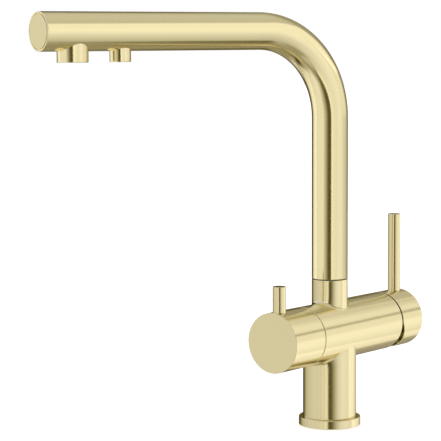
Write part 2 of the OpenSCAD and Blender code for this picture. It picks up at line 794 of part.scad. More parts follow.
module mixer_cap() color(gold)
  difference() {
    on_barrel(mixer_rim_x) rod(barrel_r, mixer_cap_len);
    bar_x(mixer_rim_x - over, cap_bore_x, cap_bore_r);
    rim_wedge();
    block_x(cap_bore_x - over, stem_x1 + slack, stem_w + slack, stem_h + slack);
    lever_seat(mixer_lever_x);
    translate([mixer_grub_x, 0, 0]) cylinder(h = barrel_axis_h, r = grub_r + slack / 4);
  }

module mixer_lever() color(gold)
  lever_on(mixer_lever_x, mixer_lever_h);

module mixer_grub_screw() color(steel)
  translate([mixer_grub_x, 0, barrel_axis_h - stem_h / 2]) rotate([180, 0, 0])
    set_screw(grub_r, grub_len, grub_tip_r, grub_tip_len);

module spout_tube() color(gold)
  swung() difference() {
    swan_neck(tube_r, tube_foot, arm_reach);
    swan_neck(tube_bore_r, tube_foot - over, arm_reach + over);
    translate([main_outlet_at, 0, outlet_h])
      cylinder(h = arm_axis_h - outlet_h, r = main_sleeve_bore_r);
    translate([filter_outlet_at, 0, outlet_h])
      cylinder(h = arm_axis_h - outlet_h, r = filter_sleeve_bore_r);
  }

module spout_end_plug() color(gold)
  swung() translate([arm_reach - end_plug_t, 0, arm_axis_h]) rotate([0, 90, 0])
    rod(tube_bore_r, end_plug_t, 0, edge / 2);

// Outlet sleeve whose top is cut to the arm's round underside
module outlet_sleeve(at, outer, inner) {
  swung() difference() {
    translate([at, 0, outlet_h]) difference() {
      cylinder(h = outlet_drop + tube_r / 2, r = outer);
      translate([0, 0, -over]) cylinder(h = outlet_drop + tube_r + 2 * over, r = inner);
    }
    translate([at - outer - over, 0, arm_axis_h]) rotate([0, 90, 0])
      cylinder(h = 2 * (outer + over), r = tube_r);
  }
}

module main_outlet_sleeve() color(gold)
  outlet_sleeve(main_outlet_at, main_outlet_d / 2, main_sleeve_bore_r);

module filter_outlet_sleeve() color(gold)
  outlet_sleeve(filter_outlet_at, filter_outlet_d / 2, filter_sleeve_bore_r);

// Places children at the foot of an outlet's inserts
module in_outlet(at) {
  swung() translate([at, 0, outlet_h + insert_recess]) children();
}

// Plate with rings of small holes round a middle one
module holed_plate(r, t, hole_r, pitch, rings) {
  difference() {
    cylinder(h = t, r = r);
    translate([0, 0, -over]) cylinder(h = t + 2 * over, r = hole_r);
    for (ring = [1:rings], i = [0:6 * ring - 1])
      rotate([0, 0, i * 60 / ring]) translate([ring * pitch, 0, -over])
        cylinder(h = t + 2 * over, r = hole_r);
  }
}

module main_aerator_housing() color(acetal)
  in_outlet(main_outlet_at) difference() {
    cylinder(h = insert_len, r = main_sleeve_bore_r - slack / 2);
    translate([0, 0, -over]) cylinder(h = insert_len + 2 * over, r = main_sleeve_bore_r - insert_wall);
  }

module main_aerator_screen() color(steel)
  in_outlet(main_outlet_at) translate([0, 0, screen_t])
    holed_plate(main_sleeve_bore_r - insert_wall, screen_t, screen_hole_r, screen_pitch, 3);

module main_aerator_seal() color(rubber_black)
  in_outlet(main_outlet_at) translate([0, 0, insert_len]) difference() {
    cylinder(h = seal_t, r = main_sleeve_bore_r - slack / 2);
    translate([0, 0, -over]) cylinder(h = seal_t + 2 * over, r = main_sleeve_bore_r - 2 * insert_wall);
  }

module filter_stream_former() color(acetal)
  in_outlet(filter_outlet_at)
    holed_plate(filter_sleeve_bore_r - slack / 2, insert_len, former_hole_r, former_pitch, 2);

module filter_outlet_seal() color(rubber_black)
  in_outlet(filter_outlet_at) translate([0, 0, insert_len]) difference() {
    cylinder(h = seal_t, r = filter_sleeve_bore_r - slack / 2);
    translate([0, 0, -over]) cylinder(h = seal_t + 2 * over, r = pipe_d / 2);
  }

// Elbow from the inner pipe down to the filter outlet
module filter_elbow() color(acetal)
  swung() difference() {
    union() {
      translate([filter_outlet_at, 0, elbow_foot])
        cylinder(h = arm_axis_h + elbow_r - elbow_foot, r = elbow_r);
      translate([filter_outlet_at - elbow_socket_len, 0, arm_axis_h]) rotate([0, 90, 0])
        cylinder(h = elbow_socket_len, r = elbow_r);
    }
    translate([filter_outlet_at - elbow_socket_len - over, 0, arm_axis_h]) rotate([0, 90, 0])
      cylinder(h = elbow_socket_len - pipe_d / 2 + over, r = pipe_d / 2);
    translate([filter_outlet_at - elbow_socket_len, 0, arm_axis_h]) rotate([0, 90, 0])
      cylinder(h = elbow_socket_len, r = pipe_d / 2 - pipe_wall);
    translate([filter_outlet_at, 0, elbow_foot - over])
      cylinder(h = arm_axis_h - elbow_foot + over, r = pipe_d / 2 - pipe_wall / 2);
  }

module filter_pipe() color(pipe_white)
  swung() difference() {
    swan_neck(pipe_d / 2, pipe_foot, filter_outlet_at - pipe_d / 2);
    swan_neck(pipe_d / 2 - pipe_wall, pipe_foot - over, filter_outlet_at);
  }

// Socket that joins the inner pipe to the nozzle and turns on it with the spout
module pipe_socket() color(raw_brass)
  difference() {
    translate([0, 0, socket_foot]) rod(socket_r, socket_top - socket_foot);
    translate([0, 0, socket_foot - over]) cylinder(h = socket_top - socket_foot, r = nozzle_r + running);
    translate([0, 0, pipe_foot]) cylinder(h = socket_top - pipe_foot + over, d = pipe_d);
    translate([0, 0, pipe_oring_foot]) cylinder(h = pipe_oring_h, r = pipe_oring_r);
  }

module pipe_oring() color(rubber_black)
  tube_z(pipe_oring_foot, pipe_oring_foot + pipe_oring_h, pipe_oring_r, nozzle_r + running / 2);

// Spigot brazed in the riser's foot, with grooves for two O-rings, glide ring and lock screw
module spout_spigot() color(raw_brass)
  difference() {
    union() {
      translate([0, 0, spigot_foot]) cylinder(h = tube_foot - spigot_foot + eps, r = spigot_r);
      translate([0, 0, tube_foot]) cylinder(h = spigot_top - tube_foot, r = tube_bore_r);
    }
    translate([0, 0, spigot_foot - over])
      cylinder(h = spigot_top - spigot_foot + 2 * over, r = spigot_bore_r);
    for (h = oring_heights) tube_z(h, h + oring_h, spigot_r + over, spigot_r - groove_depth);
    tube_z(glide_ring_foot, glide_ring_foot + glide_ring_h, spigot_r + over, spigot_r - glide_ring_depth);
    tube_z(lock_h - lock_groove_h / 2, lock_h + lock_groove_h / 2,
      spigot_r + over, spigot_r - lock_groove_depth);
  }

module spigot_orings() color(rubber_black)
  for (h = oring_heights) tube_z(h, h + oring_h, spigot_r + running / 2, spigot_r - groove_depth);

// Split ring that keeps metal off metal low in the neck
module spigot_glide_ring() color(grey_plastic)
  difference() {
    tube_z(glide_ring_foot, glide_ring_foot + glide_ring_h,
      spigot_r + running / 2, spigot_r - glide_ring_depth);
    translate([0, -glide_ring_split / 2, glide_ring_foot - over])
      cube([tube_r, glide_ring_split, glide_ring_h + 2 * over]);
  }

// Washer in the seam between neck and spout
module swivel_washer() color(grey_plastic)
  tube_z(neck_top + film, tube_foot, tube_r - washer_inset, spigot_r);

base_ring();
base_gasket();
column();
valve_body();
spout_lock_screw();
filter_nozzle();
cartridge_base();
cartridge_seals();
mixer_fixed_disc();
cartridge_housing();
cartridge_nut();
dome_cover();
filter_valve_housing();
filter_fixed_disc();
filter_seat_seal();
filter_housing_oring();
spout_tube();
spout_end_plug();
main_outlet_sleeve();
filter_outlet_sleeve();
main_aerator_housing();
main_aerator_screen();
main_aerator_seal();
filter_stream_former();
filter_outlet_seal();
filter_elbow();
filter_pipe();
pipe_socket();
pipe_oring();
spout_spigot();
spigot_orings();
spigot_glide_ring();
swivel_washer();
mixer_carrier();
mixer_pivot_pin();
mixer_moving_disc();
disc_coupler();
mixer_stem();
mixer_cap();
mixer_lever();
mixer_grub_screw();
filter_spindle();
filter_moving_disc();
spindle_orings();
spindle_circlip();
filter_cap();
filter_pin();
filter_grub_screw();
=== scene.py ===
import math

import bmesh
import bpy
import numpy as np
from mathutils import Matrix, Vector


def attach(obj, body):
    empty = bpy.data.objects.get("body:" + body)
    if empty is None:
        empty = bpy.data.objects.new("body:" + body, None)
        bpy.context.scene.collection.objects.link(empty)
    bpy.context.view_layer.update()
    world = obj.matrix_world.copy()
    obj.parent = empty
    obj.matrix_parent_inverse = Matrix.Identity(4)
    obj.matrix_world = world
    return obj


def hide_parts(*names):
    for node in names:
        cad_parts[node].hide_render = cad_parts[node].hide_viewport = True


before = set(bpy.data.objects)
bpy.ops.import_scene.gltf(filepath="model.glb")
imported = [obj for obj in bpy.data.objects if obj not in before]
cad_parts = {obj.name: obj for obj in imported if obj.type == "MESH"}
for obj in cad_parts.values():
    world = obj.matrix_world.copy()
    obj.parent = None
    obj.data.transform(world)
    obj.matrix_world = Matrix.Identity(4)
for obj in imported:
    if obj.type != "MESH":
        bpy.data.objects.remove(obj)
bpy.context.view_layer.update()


# Photo stand: the camera stands where the photograph was taken from, a little
# above the worktop and turned so that the filter handle is nearest to it.
EYE = (-1.1468, -0.8246, 0.3017)
TURN, TILT, LEAN = -50.834, -5.716, -0.263
LENS_MM, SENSOR_MM = 148.8, 36.0
NEAR_CLIP, FAR_CLIP = 0.05, 60.0

camera_data = bpy.data.cameras.new("photo_camera")
camera_data.lens = LENS_MM
camera_data.sensor_width = SENSOR_MM
camera_data.clip_start = NEAR_CLIP
camera_data.clip_end = FAR_CLIP
camera = bpy.data.objects.new("photo_camera", camera_data)
camera.matrix_world = (
    Matrix.Translation(EYE)
    @ Matrix.Rotation(math.radians(TURN), 4, "Z")
    @ Matrix.Rotation(math.radians(90 + TILT), 4, "X")
    @ Matrix.Rotation(math.radians(LEAN), 4, "Z")
)
bpy.context.scene.collection.objects.link(camera)
bpy.context.scene.camera = camera
bpy.context.scene.view_settings.view_transform = "Standard"


# Studio: a white room with warm dark flags, a long bright panel beside the tap
# and a paler ceiling, drawn in the world by direction. The photo lights spout
# and body differently, so each also has soft panels that light it alone.
TOWARDS_CAMERA = math.radians(-144.28)

# Brightness of each wall by bearing, and what is left of it towards the floor.
# All places in the studio are in degrees: bearings run from -180 behind the tap
# over 0 at the camera to 180, heights from -90 straight down to 90 straight up.
LEFT_WALL = [
    (-180, 0.10), (-158, 0.03), (-150, 0.05), (-140, 0.18), (-128, 0.42), (-114, 0.61),
    (-72, 0.74), (-46, 0.72), (-30, 0.46), (-17, 0.16), (-9, 0.10), (4, 0.0)]
RIGHT_WALL = [
    (-4, 0.0), (4, 0.09), (8, 0.10), (16, 0.30), (29, 0.60), (42, 0.83), (60, 0.86),
    (95, 0.79), (116, 0.66), (133, 0.45), (150, 0.22), (165, 0.13), (180, 0.16)]
LEFT_FALL = [(-90, 0.50), (-76, 0.60), (-62, 1.0)]
RIGHT_FALL = [(-90, 0.40), (-65, 0.50), (-48, 0.70), (-32, 0.86), (-16, 1.0)]
CEILING = [(0.0, 0.5), (42, 0.60), (60, 0.66), (90, 0.70)]
CEILING_FROM, CEILING_TO = 26, 44
# Below this height the left wall drifts round, this far for each degree.
DRIFT_BELOW, DRIFT = -26.0, 0.7

# Flags and panels: tone, left and right bearing, foot and top, soft edge.
LOW_FLAGS = [
    (0.33, 108, 190, -78, -40, 6), (0.33, -190, -140, -78, -24, 6),
    (0.12, 92, 120, -54, -44, 4), (0.36, -25, 78, -82, -51, 4)]
HIGH_PANELS = [
    (0.36, 138, 190, 16, 42, 4), (0.62, -128, 35, 38, 66, 4),
    (0.58, 58, 124, -2, 39.5, 1.5), (0.32, 92, 136, 13.0, 15.0, 0.6)]
COOL_PANELS = [
    ((0.46, 0.52, 0.64), -128, 35, 12, 38, 4), ((0.74, 0.80, 0.98), -135, -24, 4, 36, 4),
    ((0.33, 0.36, 0.42), 24, 58, 31, 39, 2), ((0.15, 0.14, 0.08), 14, 56, 12, 29, 3)]
# The darker a place in the studio is, the warmer.
WARMTH = [
    (0.0, (0.0, 0.0, 0.0)), (0.12, (0.12, 0.100, 0.026)), (0.30, (0.30, 0.277, 0.177)),
    (0.56, (0.56, 0.55, 0.49)), (0.76, (0.76, 0.76, 0.735)), (1.0, (1.0, 1.0, 1.02))]
DIFFUSE_FILL = 0.9

world = bpy.data.worlds.new("white_studio")
world.use_nodes = True
bpy.context.scene.world = world
wt = world.node_tree
wt.nodes.clear()


def wire(tree, kind, *sources, **settings):
    """Node of this kind; its sources are sockets, values or None, in the order of its inputs."""
    made = tree.nodes.new(kind)
    for key, value in settings.items():
        setattr(made, key, value)
    for socket, source in zip(made.inputs, sources):
        if source is None:
            continue
        if isinstance(source, bpy.types.NodeSocket):
            tree.links.new(source, socket)
        else:
            socket.default_value = source
    return made


def maths(tree, operation, *sources):
    return wire(tree, "ShaderNodeMath", *sources, operation=operation).outputs[0]


def mix(tree, share, first, second, blend="MIX"):
    """Colour between two others, or one blended with the other."""
    return wire(tree, "ShaderNodeMix", share, None, None, None, None, None, first, second,
                data_type="RGBA", blend_type=blend).outputs[2]


def opaque(tone):
    """Colour of a grey, or of three shares."""
    return (tone, tone, tone, 1) if isinstance(tone, float) else (*tone, 1)


def ramp(tree, factor, stops):
    """Colour ramp through stops of (place, tone)."""
    made = wire(tree, "ShaderNodeValToRGB", factor)
    elements = made.color_ramp.elements
    while len(elements) > 1:
        elements.remove(elements[-1])
    for k, (place, tone) in enumerate(stops):
        element = elements[0] if k == 0 else elements.new(place)
        element.position = place
        element.color = opaque(tone)
    return made.outputs["Color"]


direction = wire(wt, "ShaderNodeTexCoord").outputs["Generated"]


def pointing(bearing):
    """How far a direction of the studio points along this level bearing."""
    level_axis = (math.cos(bearing), math.sin(bearing), 0)
    return wire(wt, "ShaderNodeVectorMath", direction, level_axis,
                operation="DOT_PRODUCT").outputs["Value"]


ahead = pointing(TOWARDS_CAMERA)
aside = pointing(TOWARDS_CAMERA + math.pi / 2)
rise = wire(wt, "ShaderNodeSeparateXYZ", direction).outputs["Z"]
around = maths(wt, "MULTIPLY", maths(wt, "ARCTAN2", aside, ahead), 180 / math.pi)
height = maths(wt, "MULTIPLY", maths(wt, "ARCSINE", rise), 180 / math.pi)


def by_bearing(bearing, stops):
    """Brightness through stops of (bearing, brightness)."""
    return ramp(wt, maths(wt, "MULTIPLY_ADD", bearing, 1 / 360, 0.5),
                [(b / 360 + 0.5, v) for b, v in stops])


def by_height(stops):
    """Brightness through stops of (height, brightness)."""
    return ramp(wt, maths(wt, "MULTIPLY_ADD", height, 1 / 180, 0.5),
                [(h / 180 + 0.5, v) for h, v in stops])


def fade(value, start, end):
    return wire(wt, "ShaderNodeMapRange", value, start, end, 0.0, 1.0,
                interpolation_type="SMOOTHSTEP").outputs[0]


def within(value, low, high, soft):
    """Mask between two places, each with a soft edge."""
    return maths(wt, "MULTIPLY", fade(value, low - soft, low + soft),
                 fade(value, high + soft, high - soft))


def hung(room, panels):
    """The room with these upright panels in it, each laid over what is there."""
    for tone, left, right, foot, top, soft in panels:
        mask = maths(wt, "MULTIPLY", within(around, left, right, soft),
                     within(height, foot, top, soft))
        room = mix(wt, mask, room, opaque(tone))
    return room


sinking = maths(wt, "MAXIMUM", maths(wt, "MULTIPLY_ADD", height, -1.0, DRIFT_BELOW), 0.0)
drifting = maths(wt, "SUBTRACT", around, maths(wt, "MULTIPLY", sinking, DRIFT))
left_wall = mix(wt, 1.0, by_bearing(drifting, LEFT_WALL), by_height(LEFT_FALL), "MULTIPLY")
right_wall = mix(wt, 1.0, by_bearing(around, RIGHT_WALL), by_height(RIGHT_FALL), "MULTIPLY")
studio = hung(mix(wt, 1.0, left_wall, right_wall, "ADD"), LOW_FLAGS)
studio = mix(wt, fade(height, CEILING_FROM, CEILING_TO), studio, by_height(CEILING))
studio = hung(ramp(wt, hung(studio, HIGH_PANELS), WARMTH), COOL_PANELS)
seen = wire(wt, "ShaderNodeLightPath")
soft_fill = mix(wt, seen.outputs["Is Glossy Ray"], opaque(DIFFUSE_FILL), studio)
backdrop = mix(wt, seen.outputs["Is Camera Ray"], soft_fill, opaque(1.0))
sky = wire(wt, "ShaderNodeBackground", backdrop, 1.0)
wire(wt, "ShaderNodeOutputWorld", sky.outputs[0])

# Soft panels: what they light, left and right bearing, foot and top, level. They
# stand this far off in metres, and are placed as seen from this height.
PANEL_OFF, PANEL_H = 4, 0.2
SOFT_PANELS = [
    ("spout", -131, -40, -66, 25, 0.17),
    ("tube", -128, -92, -66, 25, 0.25),
    ("spout", -45, -10, -66, 25, 0.06),
    ("spout", -45, -17, -66, 25, 0.06),
    ("spout", 9, 38, -70, 20, 0.20),
    ("spout", 9, 29, -44, 20, 0.25),
    ("spout", 9, 19, -44, 20, 0.38),
    ("tube", -152, -126, -54, -28, 0.66),
    ("tube", -158, -120, -70, -28, 0.13),
    ("spout", 56, 124, 12, 41, 0.46),
    ("spout", 56, 82, -1, 12, 0.46),
    ("spout", 82, 124, -1, 12, 0.34),
    ("tube", 37, 58, -42, 4, 0.07),
    ("tube", 58, 90, -12, -1, 0.11),
    ("spout", 90, 136, 12, 16, 0.40),
    ("body", -45, -6, -30, 14, 0.12),
    ("body", -33, -6, -30, 14, 0.30),
    ("body", -20, -6, -30, 14, 0.35),
    ("body", 92, 140, -50, 11.5, 0.36),
    ("body", 98, 144, -50, -30, 0.24),
    ("body", 92, 142, 16.5, 44, 0.17),
    ("body", 92, 131, 16.5, 44, 0.09),
    ("body", 92, 122, 16.5, 44, 0.10),
    ("body", 136, 166, 10, 46, 0.20),
    ("body", 138, 172, -48, 0, 0.22),
    ("body", 0, 100, -78, -56, 0.40),
    ("body", 50, 90, -15, -3, 0.09),
    ("body", 114, 164, -15, -3, 0.12),
]
lit_groups = {name: bpy.data.collections.new("lit_" + name) for name in ("spout", "body", "tube")}

for group, left, right, foot, top, level in SOFT_PANELS:
    low, high = (PANEL_OFF * math.tan(math.radians(h)) for h in (foot, top))
    data = bpy.data.lights.new("panel_" + group, "AREA")
    data.shape = "RECTANGLE"
    data.size = 2 * PANEL_OFF * math.tan(math.radians(right - left) / 2)
    data.size_y = high - low
    data.energy = level * math.pi * data.size * data.size_y
    lamp = bpy.data.objects.new("panel_" + group, data)
    bearing = TOWARDS_CAMERA + math.radians(left + right) / 2
    lamp.matrix_world = (
        Matrix.Translation((PANEL_OFF * math.cos(bearing), PANEL_OFF * math.sin(bearing),
                            PANEL_H + (low + high) / 2))
        @ Matrix.Rotation(bearing + math.pi / 2, 4, "Z")
        @ Matrix.Rotation(math.pi / 2, 4, "X")
    )
    bpy.context.scene.collection.objects.link(lamp)
    lamp.light_linking.receiver_collection = lit_groups[group]


# Worktop: a plain pale floor, matt, that keeps the tap's soft shadow. It is
# clear from below, so that the foot with its tapped holes can be looked at.
FLOOR_HALF, FLOOR_DROP = 8.0, 0.0002
FLOOR_TONE, FLOOR_LIFT = 0.86, 0.45

floor_mesh = bpy.data.meshes.new("floor")
floor_mesh.from_pydata([(x * FLOOR_HALF, y * FLOOR_HALF, -FLOOR_DROP)
                        for x, y in ((-1, -1), (1, -1), (1, 1), (-1, 1))], [], [(0, 1, 2, 3)])
floor = bpy.data.objects.new("floor", floor_mesh)
bpy.context.scene.collection.objects.link(floor)
pale = bpy.data.materials.new("pale_floor")
pale.use_nodes = True
pt = pale.node_tree
pt.nodes.clear()
matt = wire(pt, "ShaderNodeBsdfDiffuse", opaque(FLOOR_TONE))
seen_directly = wire(pt, "ShaderNodeLightPath").outputs["Is Camera Ray"]
lift = wire(pt, "ShaderNodeEmission", opaque(1.0), maths(pt, "MULTIPLY", seen_directly, FLOOR_LIFT))
white_top = wire(pt, "ShaderNodeAddShader", matt.outputs[0], lift.outputs[0])
under_side = wire(pt, "ShaderNodeNewGeometry").outputs["Backfacing"]
clear = wire(pt, "ShaderNodeBsdfTransparent")
open_below = wire(pt, "ShaderNodeMixShader", under_side, white_top.outputs[0], clear.outputs[0])
wire(pt, "ShaderNodeOutputMaterial", open_below.outputs[0])
floor_mesh.materials.append(pale)
floor.visible_glossy = False
floor.visible_shadow = False


# Base ring: the flat round ring that the tap stands on, turned from brass bar,
# brushed and coated in pale gold. The gasket lies in a groove in its underside.
RING_R, RING_H, RING_BORE = 0.024, 0.0065, 0.0182
RING_FOOT_EASE, RING_TOP_EASE = 0.0003, 0.0004
GROOVE_IN, GROOVE_OUT, GROOVE_DEPTH = 0.01975, 0.02225, 0.002
AXIS_H = 0.0733

# Coat: brush marks for each metre along and across them, their roughness and
# depth, and soft clouds in which the tone falls to this share.
GOLD = (0.90, 0.79, 0.48)
MARKS_ALONG, MARKS_ACROSS = 16.0, 2200.0
MARK_ROUGHNESS, MARK_DEPTH = (0.10, 0.20), 0.00001
CLOUDS, CLOUD_TONE = 45.0, 0.985

# Mesh: degrees from which an edge is sharp, the share of a rounding by which more
# points hold the flat beside it, how near to each other points are merged, and
# how narrow a ring becomes a pole.
CREASE, FLAT_HOLD = 40, 0.3
ONE_POINT, POLE = 1e-7, 1e-9


def eased(corners, steps=4):
    """Closed or open profile of (radius, place) through corners (radius, place, rounding)."""
    out = []
    for k, (r, t, rounding) in enumerate(corners):
        here = np.array((r, t), float)
        if not rounding:
            out.append(here)
            continue
        before = np.array(corners[k - 1][:2], float) - here
        after = np.array(corners[(k + 1) % len(corners)][:2], float) - here
        u, v = before / np.linalg.norm(before), after / np.linalg.norm(after)
        half = math.acos(max(-1.0, min(1.0, float(u @ v)))) / 2
        reach = rounding / math.tan(half)
        centre = here + (u + v) / np.linalg.norm(u + v) * rounding / math.sin(half)
        start, end = here + u * reach - centre, here + v * reach - centre
        swing = math.pi - 2 * half
        out.append(here + u * (reach + rounding * FLAT_HOLD))
        for s in range(steps + 1):
            turn = s / steps * swing
            from_start, from_end = math.sin(swing - turn), math.sin(turn)
            out.append(centre + (start * from_start + end * from_end) / math.sin(swing))
        out.append(here + v * (reach + rounding * FLAT_HOLD))
    return np.array(out)


def round_steps(steps):
    """Angles of the points round a turned piece."""
    return np.linspace(0, 2 * np.pi, steps, endpoint=False)


def upright(r, t, a):
    """Places a turned profile on the column's axis."""
    return np.stack([r * np.cos(a), r * np.sin(a), t + 0 * a], -1)


def along_barrel(r, t, a):
    """Places a turned profile on the barrel's axis."""
    return np.stack([t + 0 * a, r * np.cos(a), AXIS_H + r * np.sin(a)], -1)


def skin(name, rings, closed=False):
    """Mesh piece over rings of points; a ring of no width becomes a pole."""
    count = len(rings[0])
    points, index = [], []
    for ring_points in rings:
        if np.ptp(ring_points, axis=0).max() < POLE:
            index.append([len(points)] * count)
            points.append(tuple(ring_points[0]))
        else:
            index.append(list(range(len(points), len(points) + count)))
            points.extend(map(tuple, ring_points))
    faces = []
    pairs = list(zip(index, index[1:])) + ([(index[-1], index[0])] if closed else [])
    for low, high in pairs:
        for k in range(count):
            n = (k + 1) % count
            face = [low[k], low[n], high[n], high[k]]
            face = [v for j, v in enumerate(face) if v != face[j - 1]]
            if len(face) > 2:
                faces.append(face)
    mesh = bpy.data.meshes.new(name)
    mesh.from_pydata(points, [], faces)
    mesh.update()
    piece = bpy.data.objects.new(name, mesh)
    bpy.context.scene.collection.objects.link(piece)
    return finish_faces(piece)


def finish_faces(piece):
    """Turns faces outwards and shades smooth up to the crease angle."""
    work = bmesh.new()
    work.from_mesh(piece.data)
    bmesh.ops.remove_doubles(work, verts=work.verts, dist=ONE_POINT)
    bmesh.ops.recalc_face_normals(work, faces=work.faces)
    work.to_mesh(piece.data)
    work.free()
    piece.data.polygons.foreach_set("use_smooth", [True] * len(piece.data.polygons))
    piece.data.set_sharp_from_angle(angle=math.radians(CREASE))
    return piece


def turned(name, profile, place=upright, steps=128, closed=False):
    """Piece turned on the lathe from a profile of (radius, place)."""
    a = round_steps(steps)
    return skin(name, [place(r, t, a) for r, t in profile], closed)


def made_plain(piece):
    """Applies the piece's modifiers and leaves a plain mesh."""
    graph = bpy.context.evaluated_depsgraph_get()
    mesh = bpy.data.meshes.new_from_object(piece.evaluated_get(graph))
    piece.modifiers.clear()
    piece.data = mesh
    mesh.name = piece.name
    return piece


def machined(piece, cutters, operation="DIFFERENCE"):
    """Drills or joins the cutters into the piece and removes them."""
    for cutter in cutters:
        step = piece.modifiers.new(cutter.name, "BOOLEAN")
        step.operation = operation
        step.solver = "EXACT"
        step.object = cutter
    made_plain(piece)
    for cutter in cutters:
        bpy.data.objects.remove(cutter)
    return finish_faces(piece)


def drill(radius, start, end, steps=48):
    """Round cutter between two points."""
    start, end = Vector(start), Vector(end)
    turn = (end - start).to_track_quat("Z", "Y").to_matrix()
    a = round_steps(steps)
    disc = np.stack([radius * np.cos(a), radius * np.sin(a), 0 * a], -1) @ np.array(turn).T
    low, high = np.array(start), np.array(end)
    return skin("cutter", [disc * 0 + low, disc + low, disc + high, disc * 0 + high])


def brushed_gold(name, brush_axis=None, followed=None):
    """Brushed brass in a clear pale gold coat; the marks run round the given axis, or round the
    length that the followed attribute measures."""
    material = bpy.data.materials.new(name)
    material.use_nodes = True
    tree = material.node_tree
    shader = tree.nodes["Principled BSDF"]
    shader.inputs["Metallic"].default_value = 1.0
    place = wire(tree, "ShaderNodeTexCoord").outputs["Object"]
    stretch = [MARKS_ACROSS if axis == brush_axis else MARKS_ALONG for axis in "XYZ"]
    marks = wire(tree, "ShaderNodeMapping", place, None, None, stretch).outputs[0]
    if followed:
        length = wire(tree, "ShaderNodeAttribute", attribute_name=followed).outputs["Fac"]
        across = maths(tree, "MULTIPLY", length, MARKS_ACROSS)
        shift = wire(tree, "ShaderNodeCombineXYZ", across).outputs[0]
        marks = wire(tree, "ShaderNodeVectorMath", marks, shift, operation="ADD").outputs[0]
    hairline = wire(tree, "ShaderNodeTexNoise", marks, None, 1.0, 5.0, 0.75).outputs[0]
    cloud = wire(tree, "ShaderNodeTexNoise", place, None, CLOUDS, 2.0, 0.5).outputs[0]
    tone = ramp(tree, cloud, [(0.3, tuple(c * CLOUD_TONE for c in GOLD)), (0.7, GOLD)])
    tree.links.new(tone, shader.inputs["Base Color"])
    grain = wire(tree, "ShaderNodeMapRange", hairline, 0.3, 0.7, *MARK_ROUGHNESS).outputs[0]
    tree.links.new(grain, shader.inputs["Roughness"])
    bump = wire(tree, "ShaderNodeBump", 0.5, MARK_DEPTH)
    tree.links.new(hairline, bump.inputs["Height"])
    tree.links.new(bump.outputs[0], shader.inputs["Normal"])
    return material


def finished(piece, body, slot, material, *replaced):
    """Gives the piece its finish and its lamps, and says what it rides on and stands for."""
    piece.data.materials.clear()
    piece.data.materials.append(material)
    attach(piece, body)
    groups = ["spout", "tube"] if body == "spout" else ["body"]
    if piece.name == "spout_end_disc":
        groups.remove("tube")
    for group in groups:
        lit_groups[group].objects.link(piece)
    if replaced:
        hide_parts(*replaced)
    return piece


gold_upright = brushed_gold("gold_brushed_round_upright", "Z")
gold_along = brushed_gold("gold_brushed_round_barrel", "X")
gold_flat = brushed_gold("gold_brushed_flat", "Z")

base_ring = turned("base_ring_turned", eased([
    (RING_BORE, 0, 0), (GROOVE_IN, 0, 0), (GROOVE_IN, GROOVE_DEPTH, 0),
    (GROOVE_OUT, GROOVE_DEPTH, 0), (GROOVE_OUT, 0, 0), (RING_R, 0, RING_FOOT_EASE),
    (RING_R, RING_H, RING_TOP_EASE), (RING_BORE, RING_H, 0),
]), steps=160, closed=True)
finished(base_ring, "tap_body", "gold", gold_upright, "base_ring")


# Column: the round pillar, cast brass, soldered to the barrel with a small
# fillet. Three hose inlets and the hole of the fixing stud are tapped in its
# foot; a helix of ridges makes each thread.
COLUMN_R, BARREL_R = 0.0208, 0.023
FOOT_R, FOOT_EASE = 0.018, 0.0003
SADDLE_FILLET = 0.0024
# Rings of points up the wall, and, by share of its width, on the hidden top
# that lies against the barrel.
WALL_TOP, WALL_RINGS = 0.03, (0.038, 0.044)
CROWN_SHARES = (0.8, 0.5, 0.2, 0.0)
INLET_AT, INLET_R, INLET_DEPTH, INLET_PITCH = 0.010, 0.0045, 0.012, 0.001
STUD_R, STUD_DEPTH, STUD_PITCH = 0.0034, 0.016, 0.00125
# Half a ridge's height as a share of the pitch, and how much of that the hole
# is drilled wider, so that the ridge's middle lies just inside the wall.
RIDGE_SHARE, RIDGE_SUNK = 0.43, 0.97
DRILL_RUN_IN, THREAD_RUN_OUT = 0.002, 0.001


def saddle(pillar_r, fillet, side, a, steps=6):
    """Rings of the fillet between a pillar and the barrel, from the pillar out; side is 1 above
    the barrel's axis and -1 below it."""
    reach, tube = pillar_r + fillet, BARREL_R + fillet
    x, y = reach * np.cos(a), reach * np.sin(a)
    drop = np.sqrt(tube ** 2 - y ** 2)
    centre = np.stack([x, y, AXIS_H + side * drop], -1)
    start = np.stack([-fillet * np.cos(a), -fillet * np.sin(a), 0 * a], -1)
    end = np.stack([0 * a, -y * fillet / tube, -side * drop * fillet / tube], -1)
    swing = np.arccos(np.clip((start * end).sum(-1) / fillet ** 2, -1, 1))[:, None]
    rings = []
    for s in range(steps + 1):
        b = s / steps * swing
        rings.append(centre + (start * np.sin(swing - b) + end * np.sin(b)) / np.sin(swing))
    return rings


def tree_with(name, inputs):
    """Geometry node tree that takes these named inputs; returns the tree and their sockets."""
    tree = bpy.data.node_groups.new(name, "GeometryNodeTree")
    tree.interface.new_socket("Geometry", in_out="INPUT", socket_type="NodeSocketGeometry")
    for label, kind in inputs:
        tree.interface.new_socket(label, in_out="INPUT", socket_type="NodeSocket" + kind)
    tree.interface.new_socket("Geometry", in_out="OUTPUT", socket_type="NodeSocketGeometry")
    return tree, tree.nodes.new("NodeGroupInput").outputs


def node(tree, kind, given_sockets, **settings):
    """Geometry node with its named inputs linked or set; returns its outputs."""
    made = tree.nodes.new(kind)
    for key, value in settings.items():
        setattr(made, key, value)
    for label, source in given_sockets.items():
        socket = [s for s in made.inputs if s.name == label and s.enabled][0]
        if isinstance(source, bpy.types.NodeSocket):
            tree.links.new(source, socket)
        else:
            socket.default_value = source
    return made.outputs


